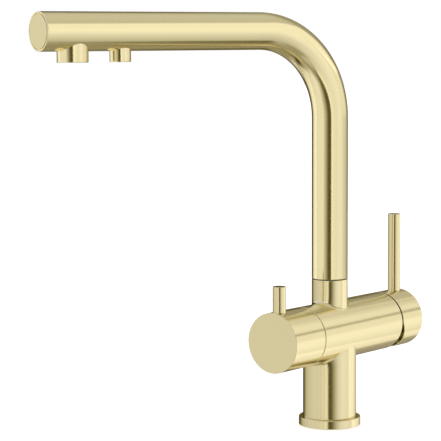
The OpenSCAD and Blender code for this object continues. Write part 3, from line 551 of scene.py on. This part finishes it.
def ends_in(tree, geometry, material):
    """Last nodes of a tree: instances made real, material set."""
    real = node(tree, "GeometryNodeRealizeInstances", {"Geometry": geometry})[0]
    coated = node(tree, "GeometryNodeSetMaterial", {"Geometry": real, "Material": material})[0]
    node(tree, "NodeGroupOutput", {"Geometry": coated})


def grown(name, tree, values, base=None):
    """Plain mesh piece that the tree grows on the base curve, or on nothing."""
    seed = bpy.data.objects.new(name + "_seed", base or bpy.data.meshes.new(name))
    bpy.context.scene.collection.objects.link(seed)
    step = seed.modifiers.new(tree.name, "NODES")
    step.node_group = tree
    for item in tree.interface.items_tree:
        if item.item_type == "SOCKET" and item.in_out == "INPUT" and item.name in values:
            step[item.identifier] = values[item.name]
    graph = bpy.context.evaluated_depsgraph_get()
    mesh = bpy.data.meshes.new_from_object(seed.evaluated_get(graph))
    bpy.data.objects.remove(seed)
    mesh.name = name
    piece = bpy.data.objects.new(name, mesh)
    bpy.context.scene.collection.objects.link(piece)
    return finish_faces(piece)


a = round_steps(192)
weld = saddle(COLUMN_R, SADDLE_FILLET, -1, a)
wall = eased([
    (FOOT_R, 0, 0), (FOOT_R, RING_H, 0), (COLUMN_R, RING_H, FOOT_EASE), (COLUMN_R, WALL_TOP, 0)])
rings = [upright(0, 0, a)] + [upright(r, t, a) for r, t in wall]
rings += [upright(COLUMN_R, t, a) for t in WALL_RINGS]
rings += [rings[-1] * 0.5 + weld[0] * 0.5] + weld
for share in CROWN_SHARES:
    flat = weld[-1][:, :2] * share
    rings.append(np.column_stack([flat, AXIS_H - np.sqrt(BARREL_R ** 2 - flat[:, 1] ** 2)]))
column = skin("column_soldered", rings)
inlet = (INLET_R, INLET_DEPTH, INLET_PITCH)
tapped = {
    "hot_inlet": (0, -INLET_AT, *inlet),
    "cold_inlet": (0, INLET_AT, *inlet),
    "filtered_inlet": (-INLET_AT, 0, *inlet),
    "stud_hole": (INLET_AT, 0, STUD_R, STUD_DEPTH, STUD_PITCH),
}
machined(column, [
    drill(r + RIDGE_SUNK * RIDGE_SHARE * pitch, (x, y, -DRILL_RUN_IN), (x, y, depth), 64)
    for x, y, r, depth, pitch in tapped.values()])
finished(column, "tap_body", "gold", gold_upright, "column")

thread_tree, given = tree_with("tapped_thread", [
    ("Radius", "Float"), ("Pitch", "Float"), ("Length", "Float"), ("Height", "Float"),
    ("Material", "Material")])
helix = node(thread_tree, "GeometryNodeCurveSpiral", {
    "Resolution": 40, "Rotations": maths(thread_tree, "DIVIDE", given["Length"], given["Pitch"]),
    "Start Radius": given["Radius"], "End Radius": given["Radius"], "Height": given["Length"]})[0]
flank = node(thread_tree, "GeometryNodeCurvePrimitiveCircle", {
    "Resolution": 4, "Radius": given["Height"]})["Curve"]
upright_helix = node(thread_tree, "GeometryNodeSetCurveNormal", {"Curve": helix}, mode="Z_UP")[0]
ridge = node(thread_tree, "GeometryNodeCurveToMesh", {
    "Curve": upright_helix, "Profile Curve": flank, "Fill Caps": True})[0]
ends_in(thread_tree, ridge, given["Material"])
for hole, (x, y, r, depth, pitch) in tapped.items():
    thread = grown(hole + "_thread", thread_tree, {
        "Radius": r + RIDGE_SHARE * pitch, "Pitch": pitch, "Length": depth - 2 * THREAD_RUN_OUT,
        "Height": RIDGE_SHARE * pitch, "Material": gold_upright})
    thread.data.transform(Matrix.Translation((x, y, THREAD_RUN_OUT)))
    finished(thread, "tap_body", "gold", gold_upright)


# Valve body: the barrel across the column with the neck for the spout on top,
# one brass casting, bored from both ends for the two valves and from above.
NECK_R, NECK_TOP, NECK_BORE_R = 0.014, 0.1147, 0.0115
NECK_FOOT, NECK_FILLET, NECK_EASE = 0.104, 0.0026, 0.0003
CHAMBER_FLOOR, ABOVE_NECK = 0.090, 0.13
LOCK_R, LOCK_H, LOCK_FROM, LOCK_TO = 0.002, 0.0996, 0.0105, 0.016
LEFT_END, RIGHT_END = -0.0361, 0.0683
SEAT_X, THREAD_X, SEAT_BORE_R, THREAD_BORE_R = 0.03205, 0.0595, 0.0176, 0.0196
VALVE_SEAT_X, VALVE_BORE_R = -0.015, 0.00995
RIM = 0.00035

valve_body = turned("valve_body_bored", eased([
    (0, VALVE_SEAT_X, 0), (VALVE_BORE_R, VALVE_SEAT_X, 0), (VALVE_BORE_R, LEFT_END, 0),
    (BARREL_R, LEFT_END, RIM), (BARREL_R, RIGHT_END, RIM), (THREAD_BORE_R, RIGHT_END, 0),
    (THREAD_BORE_R, THREAD_X, 0), (SEAT_BORE_R, THREAD_X, 0), (SEAT_BORE_R, SEAT_X, 0),
    (0, SEAT_X, 0),
]), along_barrel, steps=192)
a = round_steps(160)
weld = saddle(NECK_R, NECK_FILLET, 1, a)
neck_top = eased([(0, NECK_TOP, 0), (NECK_R, NECK_TOP, NECK_EASE), (NECK_R, NECK_FOOT, 0)])
sunk = [np.column_stack([weld[-1][:, :2] * share, 0 * a + AXIS_H]) for share in (1.0, 0.0)]
neck = skin("neck", [upright(r, t, a) for r, t in neck_top] + weld + sunk)
machined(valve_body, [neck], "UNION")
machined(valve_body, [
    drill(NECK_BORE_R, (0, 0, CHAMBER_FLOOR), (0, 0, ABOVE_NECK), 96),
    drill(LOCK_R, (0, LOCK_FROM, LOCK_H), (0, LOCK_TO, LOCK_H))])
finished(valve_body, "tap_body", "gold", gold_along, "valve_body")


# Spout: one drawn brass tube, bent once to a swan neck and brushed round its
# length. Riser, bend and arm are one piece; the far end is closed by a plug.
TUBE_R, TUBE_WALL, TUBE_EASE = 0.014, 0.0012, 0.00045
RISER_FOOT, ARM_H, ARM_REACH, BEND_R = 0.1153, 0.3068, 0.2543, 0.0669
BEND_STEPS, STEPS_ROUND = 48, 128
MAIN_AT, FILTER_AT, OUTLET_H = 0.2272, 0.1883, 0.2851
MAIN_BORE_R, FILTER_BORE_R = 0.00975, 0.00625
SWUNG = Matrix.Rotation(math.radians(163.3), 4, "Z")

# Rings of points: one this near to each end, and close ones over the outlets.
END_RING = 0.0008
OUTLET_RINGS = np.arange(0.170, 0.2421, 0.003)

centreline = bpy.data.curves.new("spout_centreline", "CURVE")
centreline.dimensions = "3D"
stations = [(0, 0, RISER_FOOT), (0, 0, RISER_FOOT + END_RING), (0, 0, ARM_H)]
stations += [(x, 0, ARM_H) for x in (*OUTLET_RINGS, ARM_REACH - END_RING, ARM_REACH)]
spline = centreline.splines.new("POLY")
spline.points.add(len(stations) - 1)
for point, station in zip(spline.points, stations):
    point.co = (*station, 1)
    point.radius = 1.0

swan_tree, given = tree_with("swan_neck", [
    ("Tube radius", "Float"), ("Bend radius", "Float"), ("Bend steps", "Int"),
    ("Steps round", "Int"), ("Material", "Material")])
bent = node(swan_tree, "GeometryNodeFilletCurve", {
    "Curve": given["Geometry"], "Radius": given["Bend radius"], "Count": given["Bend steps"]},
    mode="POLY")[0]
captured = swan_tree.nodes.new("GeometryNodeCaptureAttribute")
captured.capture_items.new("FLOAT", "travelled")
swan_tree.links.new(bent, captured.inputs["Geometry"])
travelled = node(swan_tree, "GeometryNodeSplineParameter", {})["Length"]
swan_tree.links.new(travelled, captured.inputs[1])
circle = node(swan_tree, "GeometryNodeCurvePrimitiveCircle", {
    "Resolution": given["Steps round"], "Radius": given["Tube radius"]})["Curve"]
swept = node(swan_tree, "GeometryNodeCurveToMesh", {
    "Curve": captured.outputs["Geometry"], "Profile Curve": circle})[0]
kept = node(swan_tree, "GeometryNodeStoreNamedAttribute", {
    "Geometry": swept, "Name": "travelled", "Value": captured.outputs[1]})[0]
ends_in(swan_tree, kept, given["Material"])
swept_gold = brushed_gold("gold_brushed_spout", followed="travelled")
spout_tube = grown("spout_bent_tube", swan_tree, {
    "Tube radius": TUBE_R, "Bend radius": BEND_R, "Bend steps": BEND_STEPS,
    "Steps round": STEPS_ROUND, "Material": swept_gold}, centreline)
spout_tube.data.transform(SWUNG)
thickness = spout_tube.modifiers.new("wall", "SOLIDIFY")
thickness.thickness = TUBE_WALL
thickness.offset = -1.0
rim = spout_tube.modifiers.new("rim", "BEVEL")
rim.width = TUBE_EASE
rim.segments = 3
rim.limit_method = "ANGLE"
rim.angle_limit = math.radians(60)
made_plain(spout_tube)

mouths = [drill(bore, (at, 0, OUTLET_H), (at, 0, ARM_H), 96)
          for at, bore in ((MAIN_AT, MAIN_BORE_R), (FILTER_AT, FILTER_BORE_R))]
for mouth in mouths:
    mouth.data.transform(SWUNG)
machined(spout_tube, mouths)
finished(spout_tube, "spout", "gold", swept_gold, "spout_tube")


# End plug: a brass disc pressed and soldered into the end of the arm, flush
# with the tube, its face brushed; a fine groove is left between the two.
PLUG_R, PLUG_T, PLUG_EASE = 0.0128, 0.005, 0.0001
PLUG_GROOVE_W, PLUG_GROOVE_DEPTH = 0.0004, 0.0012


def along_arm(r, t, a):
    """Places a turned profile on the arm's axis, before the spout is swung."""
    return np.stack([t + 0 * a, r * np.cos(a), ARM_H + r * np.sin(a)], -1)


end_plug = turned("spout_end_disc", eased([
    (0, ARM_REACH, 0), (PLUG_R - PLUG_GROOVE_W, ARM_REACH, PLUG_EASE),
    (PLUG_R - PLUG_GROOVE_W, ARM_REACH - PLUG_GROOVE_DEPTH, 0),
    (PLUG_R, ARM_REACH - PLUG_GROOVE_DEPTH, 0), (PLUG_R, ARM_REACH - PLUG_T, 0),
    (0, ARM_REACH - PLUG_T, 0),
]), along_arm)
end_plug.data.transform(SWUNG)
finished(end_plug, "spout", "gold", gold_flat, "spout_end_plug")


# Outlet sleeves: two short brass tubes cut from bar and soldered under the arm,
# the wide one for mixed water, the narrow one for filtered water.
MAIN_SLEEVE_R, FILTER_SLEEVE_R = 0.01115, 0.00765
LIP_H, LIP_IN_EASE, LIP_OUT_EASE = 0.004, 0.00025, 0.0004


def sleeve(name, at, outer, inner):
    """Sleeve with an eased mouth whose top fits the round underside of the arm."""
    a = round_steps(128)

    def top(r):
        under_arm = ARM_H - np.sqrt(TUBE_R ** 2 - (r * np.sin(a)) ** 2)
        return upright(r, under_arm, a)

    mouth = eased([
        (inner, OUTLET_H + LIP_H, 0), (inner, OUTLET_H, LIP_IN_EASE),
        (outer, OUTLET_H, LIP_OUT_EASE), (outer, OUTLET_H + LIP_H, 0)])
    rings = [top(inner)] + [upright(r, t, a) for r, t in mouth] + [top(outer)]
    piece = skin(name, [ring + np.array((at, 0, 0)) for ring in rings], closed=True)
    piece.data.transform(SWUNG)
    return piece


main_sleeve = sleeve("main_outlet_ring", MAIN_AT, MAIN_SLEEVE_R, MAIN_BORE_R)
finished(main_sleeve, "spout", "gold", gold_upright, "main_outlet_sleeve")
filter_sleeve = sleeve("filter_outlet_ring", FILTER_AT, FILTER_SLEEVE_R, FILTER_BORE_R)
finished(filter_sleeve, "spout", "gold", gold_upright, "filter_outlet_sleeve")


# Aerator screen: a disc of plain weave in stainless wire, crimped into a thin
# rim and held in the mouth of the main outlet under the aerator's housing.
SCREEN_H, SCREEN_R, WIRE_R, MESH = 0.2871, 0.0083, 0.00016, 0.00095
WIRES, WIRE_STEPS = 17, 109
RIM_R, RIM_LAP, RIM_HALF, RIM_EASE = 0.00855, 0.0004, 0.00038, 0.0001


def plain_finish(name, colour, metal, smoothest, roughest, grains, relief):
    """Finish with a fine grain: two close tones, uneven roughness and a low bump."""
    material = bpy.data.materials.new(name)
    material.use_nodes = True
    tree = material.node_tree
    shader = tree.nodes["Principled BSDF"]
    shader.inputs["Metallic"].default_value = metal
    place = wire(tree, "ShaderNodeTexCoord").outputs["Object"]
    grain = wire(tree, "ShaderNodeTexNoise", place, None, grains, 4.0, 0.6).outputs[0]
    tone = ramp(tree, grain, [(0.3, tuple(c * 0.93 for c in colour)), (0.7, colour)])
    tree.links.new(tone, shader.inputs["Base Color"])
    rough = wire(tree, "ShaderNodeMapRange", grain, 0.3, 0.7, smoothest, roughest).outputs[0]
    tree.links.new(rough, shader.inputs["Roughness"])
    bump = wire(tree, "ShaderNodeBump", 0.2, relief)
    tree.links.new(grain, bump.inputs["Height"])
    tree.links.new(bump.outputs[0], shader.inputs["Normal"])
    return material


weave_tree, given = tree_with("plain_weave", [
    ("Disc radius", "Float"), ("Mesh width", "Float"), ("Wire radius", "Float"),
    ("Wires", "Int"), ("Steps", "Int"), ("Material", "Material")])


def number(operation, *sources):
    return maths(weave_tree, operation, *sources)


def vector(*sources):
    return wire(weave_tree, "ShaderNodeCombineXYZ", *sources).outputs[0]


first = number("MULTIPLY", number("SUBTRACT", given["Wires"], 1.0),
               number("MULTIPLY", given["Mesh width"], -0.5))
rows = node(weave_tree, "GeometryNodeMeshLine", {
    "Count": given["Wires"], "Start Location": vector(0.0, first),
    "Offset": vector(0.0, given["Mesh width"])})[0]
straight = node(weave_tree, "GeometryNodeCurvePrimitiveLine", {
    "Start": vector(number("MULTIPLY", given["Disc radius"], -1.0)),
    "End": vector(given["Disc radius"])})[0]
stepped = node(weave_tree, "GeometryNodeResampleCurve", {
    "Curve": straight, "Count": given["Steps"]})[0]
laid = node(weave_tree, "GeometryNodeInstanceOnPoints", {"Points": rows, "Instance": stepped})[0]
warp = node(weave_tree, "GeometryNodeRealizeInstances", {"Geometry": laid})[0]
position = node(weave_tree, "GeometryNodeInputPosition", {})[0]
at = node(weave_tree, "ShaderNodeSeparateXYZ", {"Vector": position})
row = number("ROUND", number("DIVIDE", number("SUBTRACT", at["Y"], first), given["Mesh width"]))
crossing = number("DIVIDE", at["X"], given["Mesh width"])
phase = number("MULTIPLY", number("ADD", crossing, row), math.pi)
wave = number("MULTIPLY", number("COSINE", phase), given["Wire radius"])
woven = node(weave_tree, "GeometryNodeSetPosition", {
    "Geometry": warp, "Offset": vector(0.0, 0.0, wave)})[0]
weft = node(weave_tree, "GeometryNodeTransform", {
    "Geometry": woven, "Rotation": (0, 0, math.pi / 2), "Scale": (1, 1, -1)})[0]
both_ways = weave_tree.nodes.new("GeometryNodeJoinGeometry")
weave_tree.links.new(woven, both_ways.inputs[0])
weave_tree.links.new(weft, both_ways.inputs[0])
off_centre = number("SQRT", number("ADD", number("MULTIPLY", at["X"], at["X"]),
                                   number("MULTIPLY", at["Y"], at["Y"])))
round_disc = node(weave_tree, "GeometryNodeDeleteGeometry", {
    "Geometry": both_ways.outputs[0],
    "Selection": number("GREATER_THAN", off_centre, given["Disc radius"])})[0]
section = node(weave_tree, "GeometryNodeCurvePrimitiveCircle", {
    "Resolution": 6, "Radius": given["Wire radius"]})["Curve"]
wires = node(weave_tree, "GeometryNodeCurveToMesh", {
    "Curve": round_disc, "Profile Curve": section, "Fill Caps": True})[0]
ends_in(weave_tree, wires, given["Material"])

screen_steel = plain_finish("steel_wire", (0.60, 0.61, 0.62), 1.0, 0.2, 0.32, 1100.0, 0.00001)
screen = grown("aerator_screen_weave", weave_tree, {
    "Disc radius": SCREEN_R, "Mesh width": MESH, "Wire radius": WIRE_R, "Wires": WIRES,
    "Steps": WIRE_STEPS, "Material": screen_steel})
screen_rim = turned("aerator_screen_rim", eased([
    (SCREEN_R - RIM_LAP, -RIM_HALF, RIM_EASE), (RIM_R, -RIM_HALF, RIM_EASE),
    (RIM_R, RIM_HALF, 0), (SCREEN_R - RIM_LAP, RIM_HALF, 0),
]), steps=96, closed=True)
for part in (screen, screen_rim):
    part.data.transform(SWUNG @ Matrix.Translation((MAIN_AT, 0, SCREEN_H)))
finished(screen, "spout", "steel", screen_steel, "main_aerator_screen")
finished(screen_rim, "spout", "steel", screen_steel)


# Mixer handle: a turned brass cap over the cartridge dome. Its rim is cut at a
# slant below the axis, so that the cap can tilt; it is bored for the lever. Its
# inside is painted a darker brass tone: painted shade for the gap under the rim.
CAP_RIM, CAP_END, CAP_BORE_R, CAP_BORE_X = 0.0698, 0.0975, 0.0195, 0.082
CAP_LIP_R, CAP_LIP_T, CAP_LIP_FROM = 0.0223, 0.0006, 0.0775
LIP_TURN_EASE, LIP_EDGE_EASE, RIM_EDGE_EASE = 0.0003, 0.0001, 0.0002
CAP_END_EASE, CAP_FACE_R = 0.0004, 0.02
SLANT, SLANT_END = math.tan(math.radians(24.5)), CAP_END - 0.006
# Rings of the cap's wall next to its rim and its end, and two rings that carry
# the slant on into bore and wall: their place and their share of the slant.
WALL_FROM, WALL_TO = 0.0735, 0.093
BORE_RING, WALL_RING = (0.0812, 0.1), (0.084, 0.35)
LEVER_R, SEAT_DEPTH, LEVER_PLAY = 0.005, 0.004, 0.00005
MIXER_LEVER_X, MIXER_LEVER_TOP = 0.0899, 0.0853
STUB_HOLE_R, STUB_HOLE_FROM, STUB_HOLE_TO, ABOVE_SEAT = 0.0031, 0.0088, 0.022, 0.03
STEM_FROM, STEM_TO, STEM_W, STEM_H = 0.081, 0.0902, 0.0068, 0.0082
GRUB_R, GRUB_FROM, MIXER_GRUB_X = 0.00255, 0.045, 0.086
# Darker tone painted on the cap's inside, within the lip and short of the end: painted shade.
CAP_INSIDE_SHADE = (0.56, 0.50, 0.15)
SHADE_WITHIN, SHADE_BEFORE = CAP_LIP_R + 0.0002, CAP_END - 0.003

cap_steps = round_steps(192)


def slanted(r, t, share):
    """Ring of the cap; share says how far it follows the slanted rim."""
    fall = np.maximum(0, -r * np.sin(cap_steps)) * SLANT
    return along_barrel(r, t + share * fall, cap_steps)


rim_profile = eased([
    (CAP_BORE_R, CAP_LIP_FROM, 0), (CAP_LIP_R, CAP_RIM + CAP_LIP_T, LIP_TURN_EASE),
    (CAP_LIP_R, CAP_RIM, LIP_EDGE_EASE), (BARREL_R, CAP_RIM, RIM_EDGE_EASE),
    (BARREL_R, WALL_FROM, 0)])
end_profile = eased([
    (BARREL_R, WALL_TO, 0), (BARREL_R, CAP_END, CAP_END_EASE), (CAP_FACE_R, CAP_END, 0)])
mixer_cap = skin("mixer_handle_cap", [
    slanted(0, CAP_BORE_X, 0), slanted(CAP_BORE_R, CAP_BORE_X, 0), slanted(CAP_BORE_R, *BORE_RING),
    *(slanted(r, t, (SLANT_END - t) / (SLANT_END - CAP_RIM)) for r, t in rim_profile),
    slanted(BARREL_R, *WALL_RING), slanted(BARREL_R, SLANT_END, 0),
    *(slanted(r, t, 0) for r, t in end_profile), slanted(0, CAP_END, 0)])


def block(x0, x1, w, h):
    """Square cutter centred on the barrel's axis."""
    corners = np.array([(-w, -h), (w, -h), (w, h), (-w, h)]) / 2
    ends = [np.column_stack([np.full(4, x), corners[:, 0], corners[:, 1] + AXIS_H])
            for x in (x0, x1)]
    middles = [np.tile((x, 0, AXIS_H), (4, 1)) for x in (x0, x1)]
    return skin("cutter", [middles[0], ends[0], ends[1], middles[1]])


def lever_hole(x):
    """Cutters for the lever's foot and its thinner stub."""
    seat = AXIS_H + BARREL_R - SEAT_DEPTH
    return [drill(LEVER_R + LEVER_PLAY, (x, 0, seat), (x, 0, AXIS_H + ABOVE_SEAT), 96),
            drill(STUB_HOLE_R, (x, 0, AXIS_H + STUB_HOLE_FROM), (x, 0, AXIS_H + STUB_HOLE_TO))]


def grub_hole(x):
    """Cutter for the grub screw, from below the cap to its axis."""
    return drill(GRUB_R, (x, 0, GRUB_FROM), (x, 0, AXIS_H))


# Inside the lip and short of the end face the gold tone gives way to a darker one: painted shade.
gold_with_painted_shade = brushed_gold("gold_brushed_painted_shade", "X")
hollow_tree = gold_with_painted_shade.node_tree
base_colour = hollow_tree.nodes["Principled BSDF"].inputs["Base Color"]
coat_tone = base_colour.links[0].from_socket
place = wire(hollow_tree, "ShaderNodeTexCoord").outputs["Object"]
at = wire(hollow_tree, "ShaderNodeSeparateXYZ", place).outputs
from_axis = wire(hollow_tree, "ShaderNodeCombineXYZ", 0.0, at["Y"],
                 maths(hollow_tree, "SUBTRACT", at["Z"], AXIS_H)).outputs[0]
off_axis = wire(hollow_tree, "ShaderNodeVectorMath", from_axis, operation="LENGTH").outputs["Value"]
painted_shade_mask = maths(hollow_tree, "MULTIPLY", maths(hollow_tree, "LESS_THAN", off_axis, SHADE_WITHIN),
               maths(hollow_tree, "LESS_THAN", at["X"], SHADE_BEFORE))
painted_shade_tone = mix(hollow_tree, painted_shade_mask, coat_tone, opaque(CAP_INSIDE_SHADE))
hollow_tree.links.new(painted_shade_tone, base_colour)

stem_slot = block(STEM_FROM, STEM_TO, STEM_W, STEM_H)
machined(mixer_cap, lever_hole(MIXER_LEVER_X) + [stem_slot, grub_hole(MIXER_GRUB_X)])
finished(mixer_cap, "mixer_handle", "gold", gold_with_painted_shade, "mixer_cap")


# Levers: the mixer's long lever and the filter handle's short pin, both turned
# from brass bar with a thinner stub that is fixed in the cap.
STUB_R, STUB_FOOT = 0.003, 0.009
LEVER_FOOT_EASE, LEVER_TOP_EASE, LEVER_FACE_R = 0.0002, 0.0004, 0.0035
FILTER_PIN_X, FILTER_PIN_TOP = -0.0648, 0.0422


def lever(name, x, top):
    """Lever or pin on the cap at x, up to this height over the barrel's axis."""
    def place(r, t, a):
        return upright(r, t + AXIS_H, a) + np.array((x, 0, 0))

    seat = BARREL_R - SEAT_DEPTH
    return turned(name, eased([
        (0, STUB_FOOT, 0), (STUB_R, STUB_FOOT, 0), (STUB_R, seat, 0),
        (LEVER_R, seat, LEVER_FOOT_EASE), (LEVER_R, top, LEVER_TOP_EASE),
        (LEVER_FACE_R, top, 0), (0, top, 0),
    ]), place, 96)


mixer_lever = lever("mixer_handle_lever", MIXER_LEVER_X, MIXER_LEVER_TOP)
finished(mixer_lever, "mixer_handle", "gold", gold_upright, "mixer_lever")
filter_pin = lever("filter_handle_pin", FILTER_PIN_X, FILTER_PIN_TOP)
finished(filter_pin, "filter_handle", "gold", gold_upright, "filter_pin")


# Filter handle: a turned brass cap on the filter valve's spindle, held by a grub
# screw from below and bored on top for its pin.
FILTER_RIM, FILTER_END, FILTER_GRUB_X = -0.0367, -0.0736, -0.0595
SPINDLE_HOLE_R, SPINDLE_HOLE_END = 0.00406, -0.0632
HOLLOW_R, HOLLOW_END = 0.020, -0.056
HOLLOW_EASE, HOLLOW_RIM_EASE = 0.0006, 0.00015

filter_cap = turned("filter_handle_cap", eased([
    (SPINDLE_HOLE_R, SPINDLE_HOLE_END, 0), (SPINDLE_HOLE_R, HOLLOW_END, 0),
    (HOLLOW_R, HOLLOW_END, HOLLOW_EASE), (HOLLOW_R, FILTER_RIM, HOLLOW_RIM_EASE),
    (BARREL_R, FILTER_RIM, RIM), (BARREL_R, FILTER_END, CAP_END_EASE),
    (CAP_FACE_R, FILTER_END, 0), (0, FILTER_END, 0),
])[::-1], along_barrel, steps=192)
machined(filter_cap, lever_hole(FILTER_PIN_X) + [grub_hole(FILTER_GRUB_X)])
finished(filter_cap, "filter_handle", "gold", gold_along, "filter_cap")


# Insides: brass valve parts, ceramic discs, rubber seals and plastic carriers
# stay as machined or moulded, each with the finish of its own material. The dome
# under the mixer's cap is given a darker brass: painted shade for its gap.
FINISHES = {slot: plain_finish(name, *look) for slot, name, *look in (
    ("raw_brass", "raw_brass_turned", (0.62, 0.42, 0.12), 1.0, 0.25, 0.36, 900.0, 0.00002),
    ("ceramic_white", "ceramic_fired", (0.86, 0.85, 0.80), 0.0, 0.12, 0.2, 1400.0, 0.000005),
    ("ceramic_grey", "ceramic_lapped", (0.58, 0.57, 0.53), 0.0, 0.08, 0.14, 1400.0, 0.000004),
    ("rubber_black", "rubber_moulded", (0.019, 0.019, 0.022), 0.0, 0.55, 0.7, 1600.0, 0.00001),
    ("acetal", "acetal_moulded", (0.78, 0.76, 0.71), 0.0, 0.35, 0.45, 700.0, 0.00001),
    ("grey_plastic", "plastic_washer_grey", (0.05, 0.045, 0.035), 0.0, 0.4, 0.5, 700.0, 0.00001),
    ("steel", "steel_stainless", (0.56, 0.57, 0.58), 1.0, 0.22, 0.32, 1100.0, 0.00001),
    ("pipe_white", "pipe_extruded", (0.90, 0.90, 0.86), 0.0, 0.3, 0.4, 300.0, 0.00001),
    # Darker brass for the dome under the mixer's cap: painted shade.
    ("dome_painted_shade", "brass_painted_shade", (0.46, 0.40, 0.12), 1.0, 0.35, 0.5, 700.0, 0.00001),
)}
FINISHES["gold"] = gold_along

for solid_name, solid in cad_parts.items():
    slot_name = solid.data.materials[0].name
    finish = FINISHES["dome_painted_shade" if solid_name == "dome_cover" else slot_name]
    for slot in solid.material_slots:
        slot.material = finish
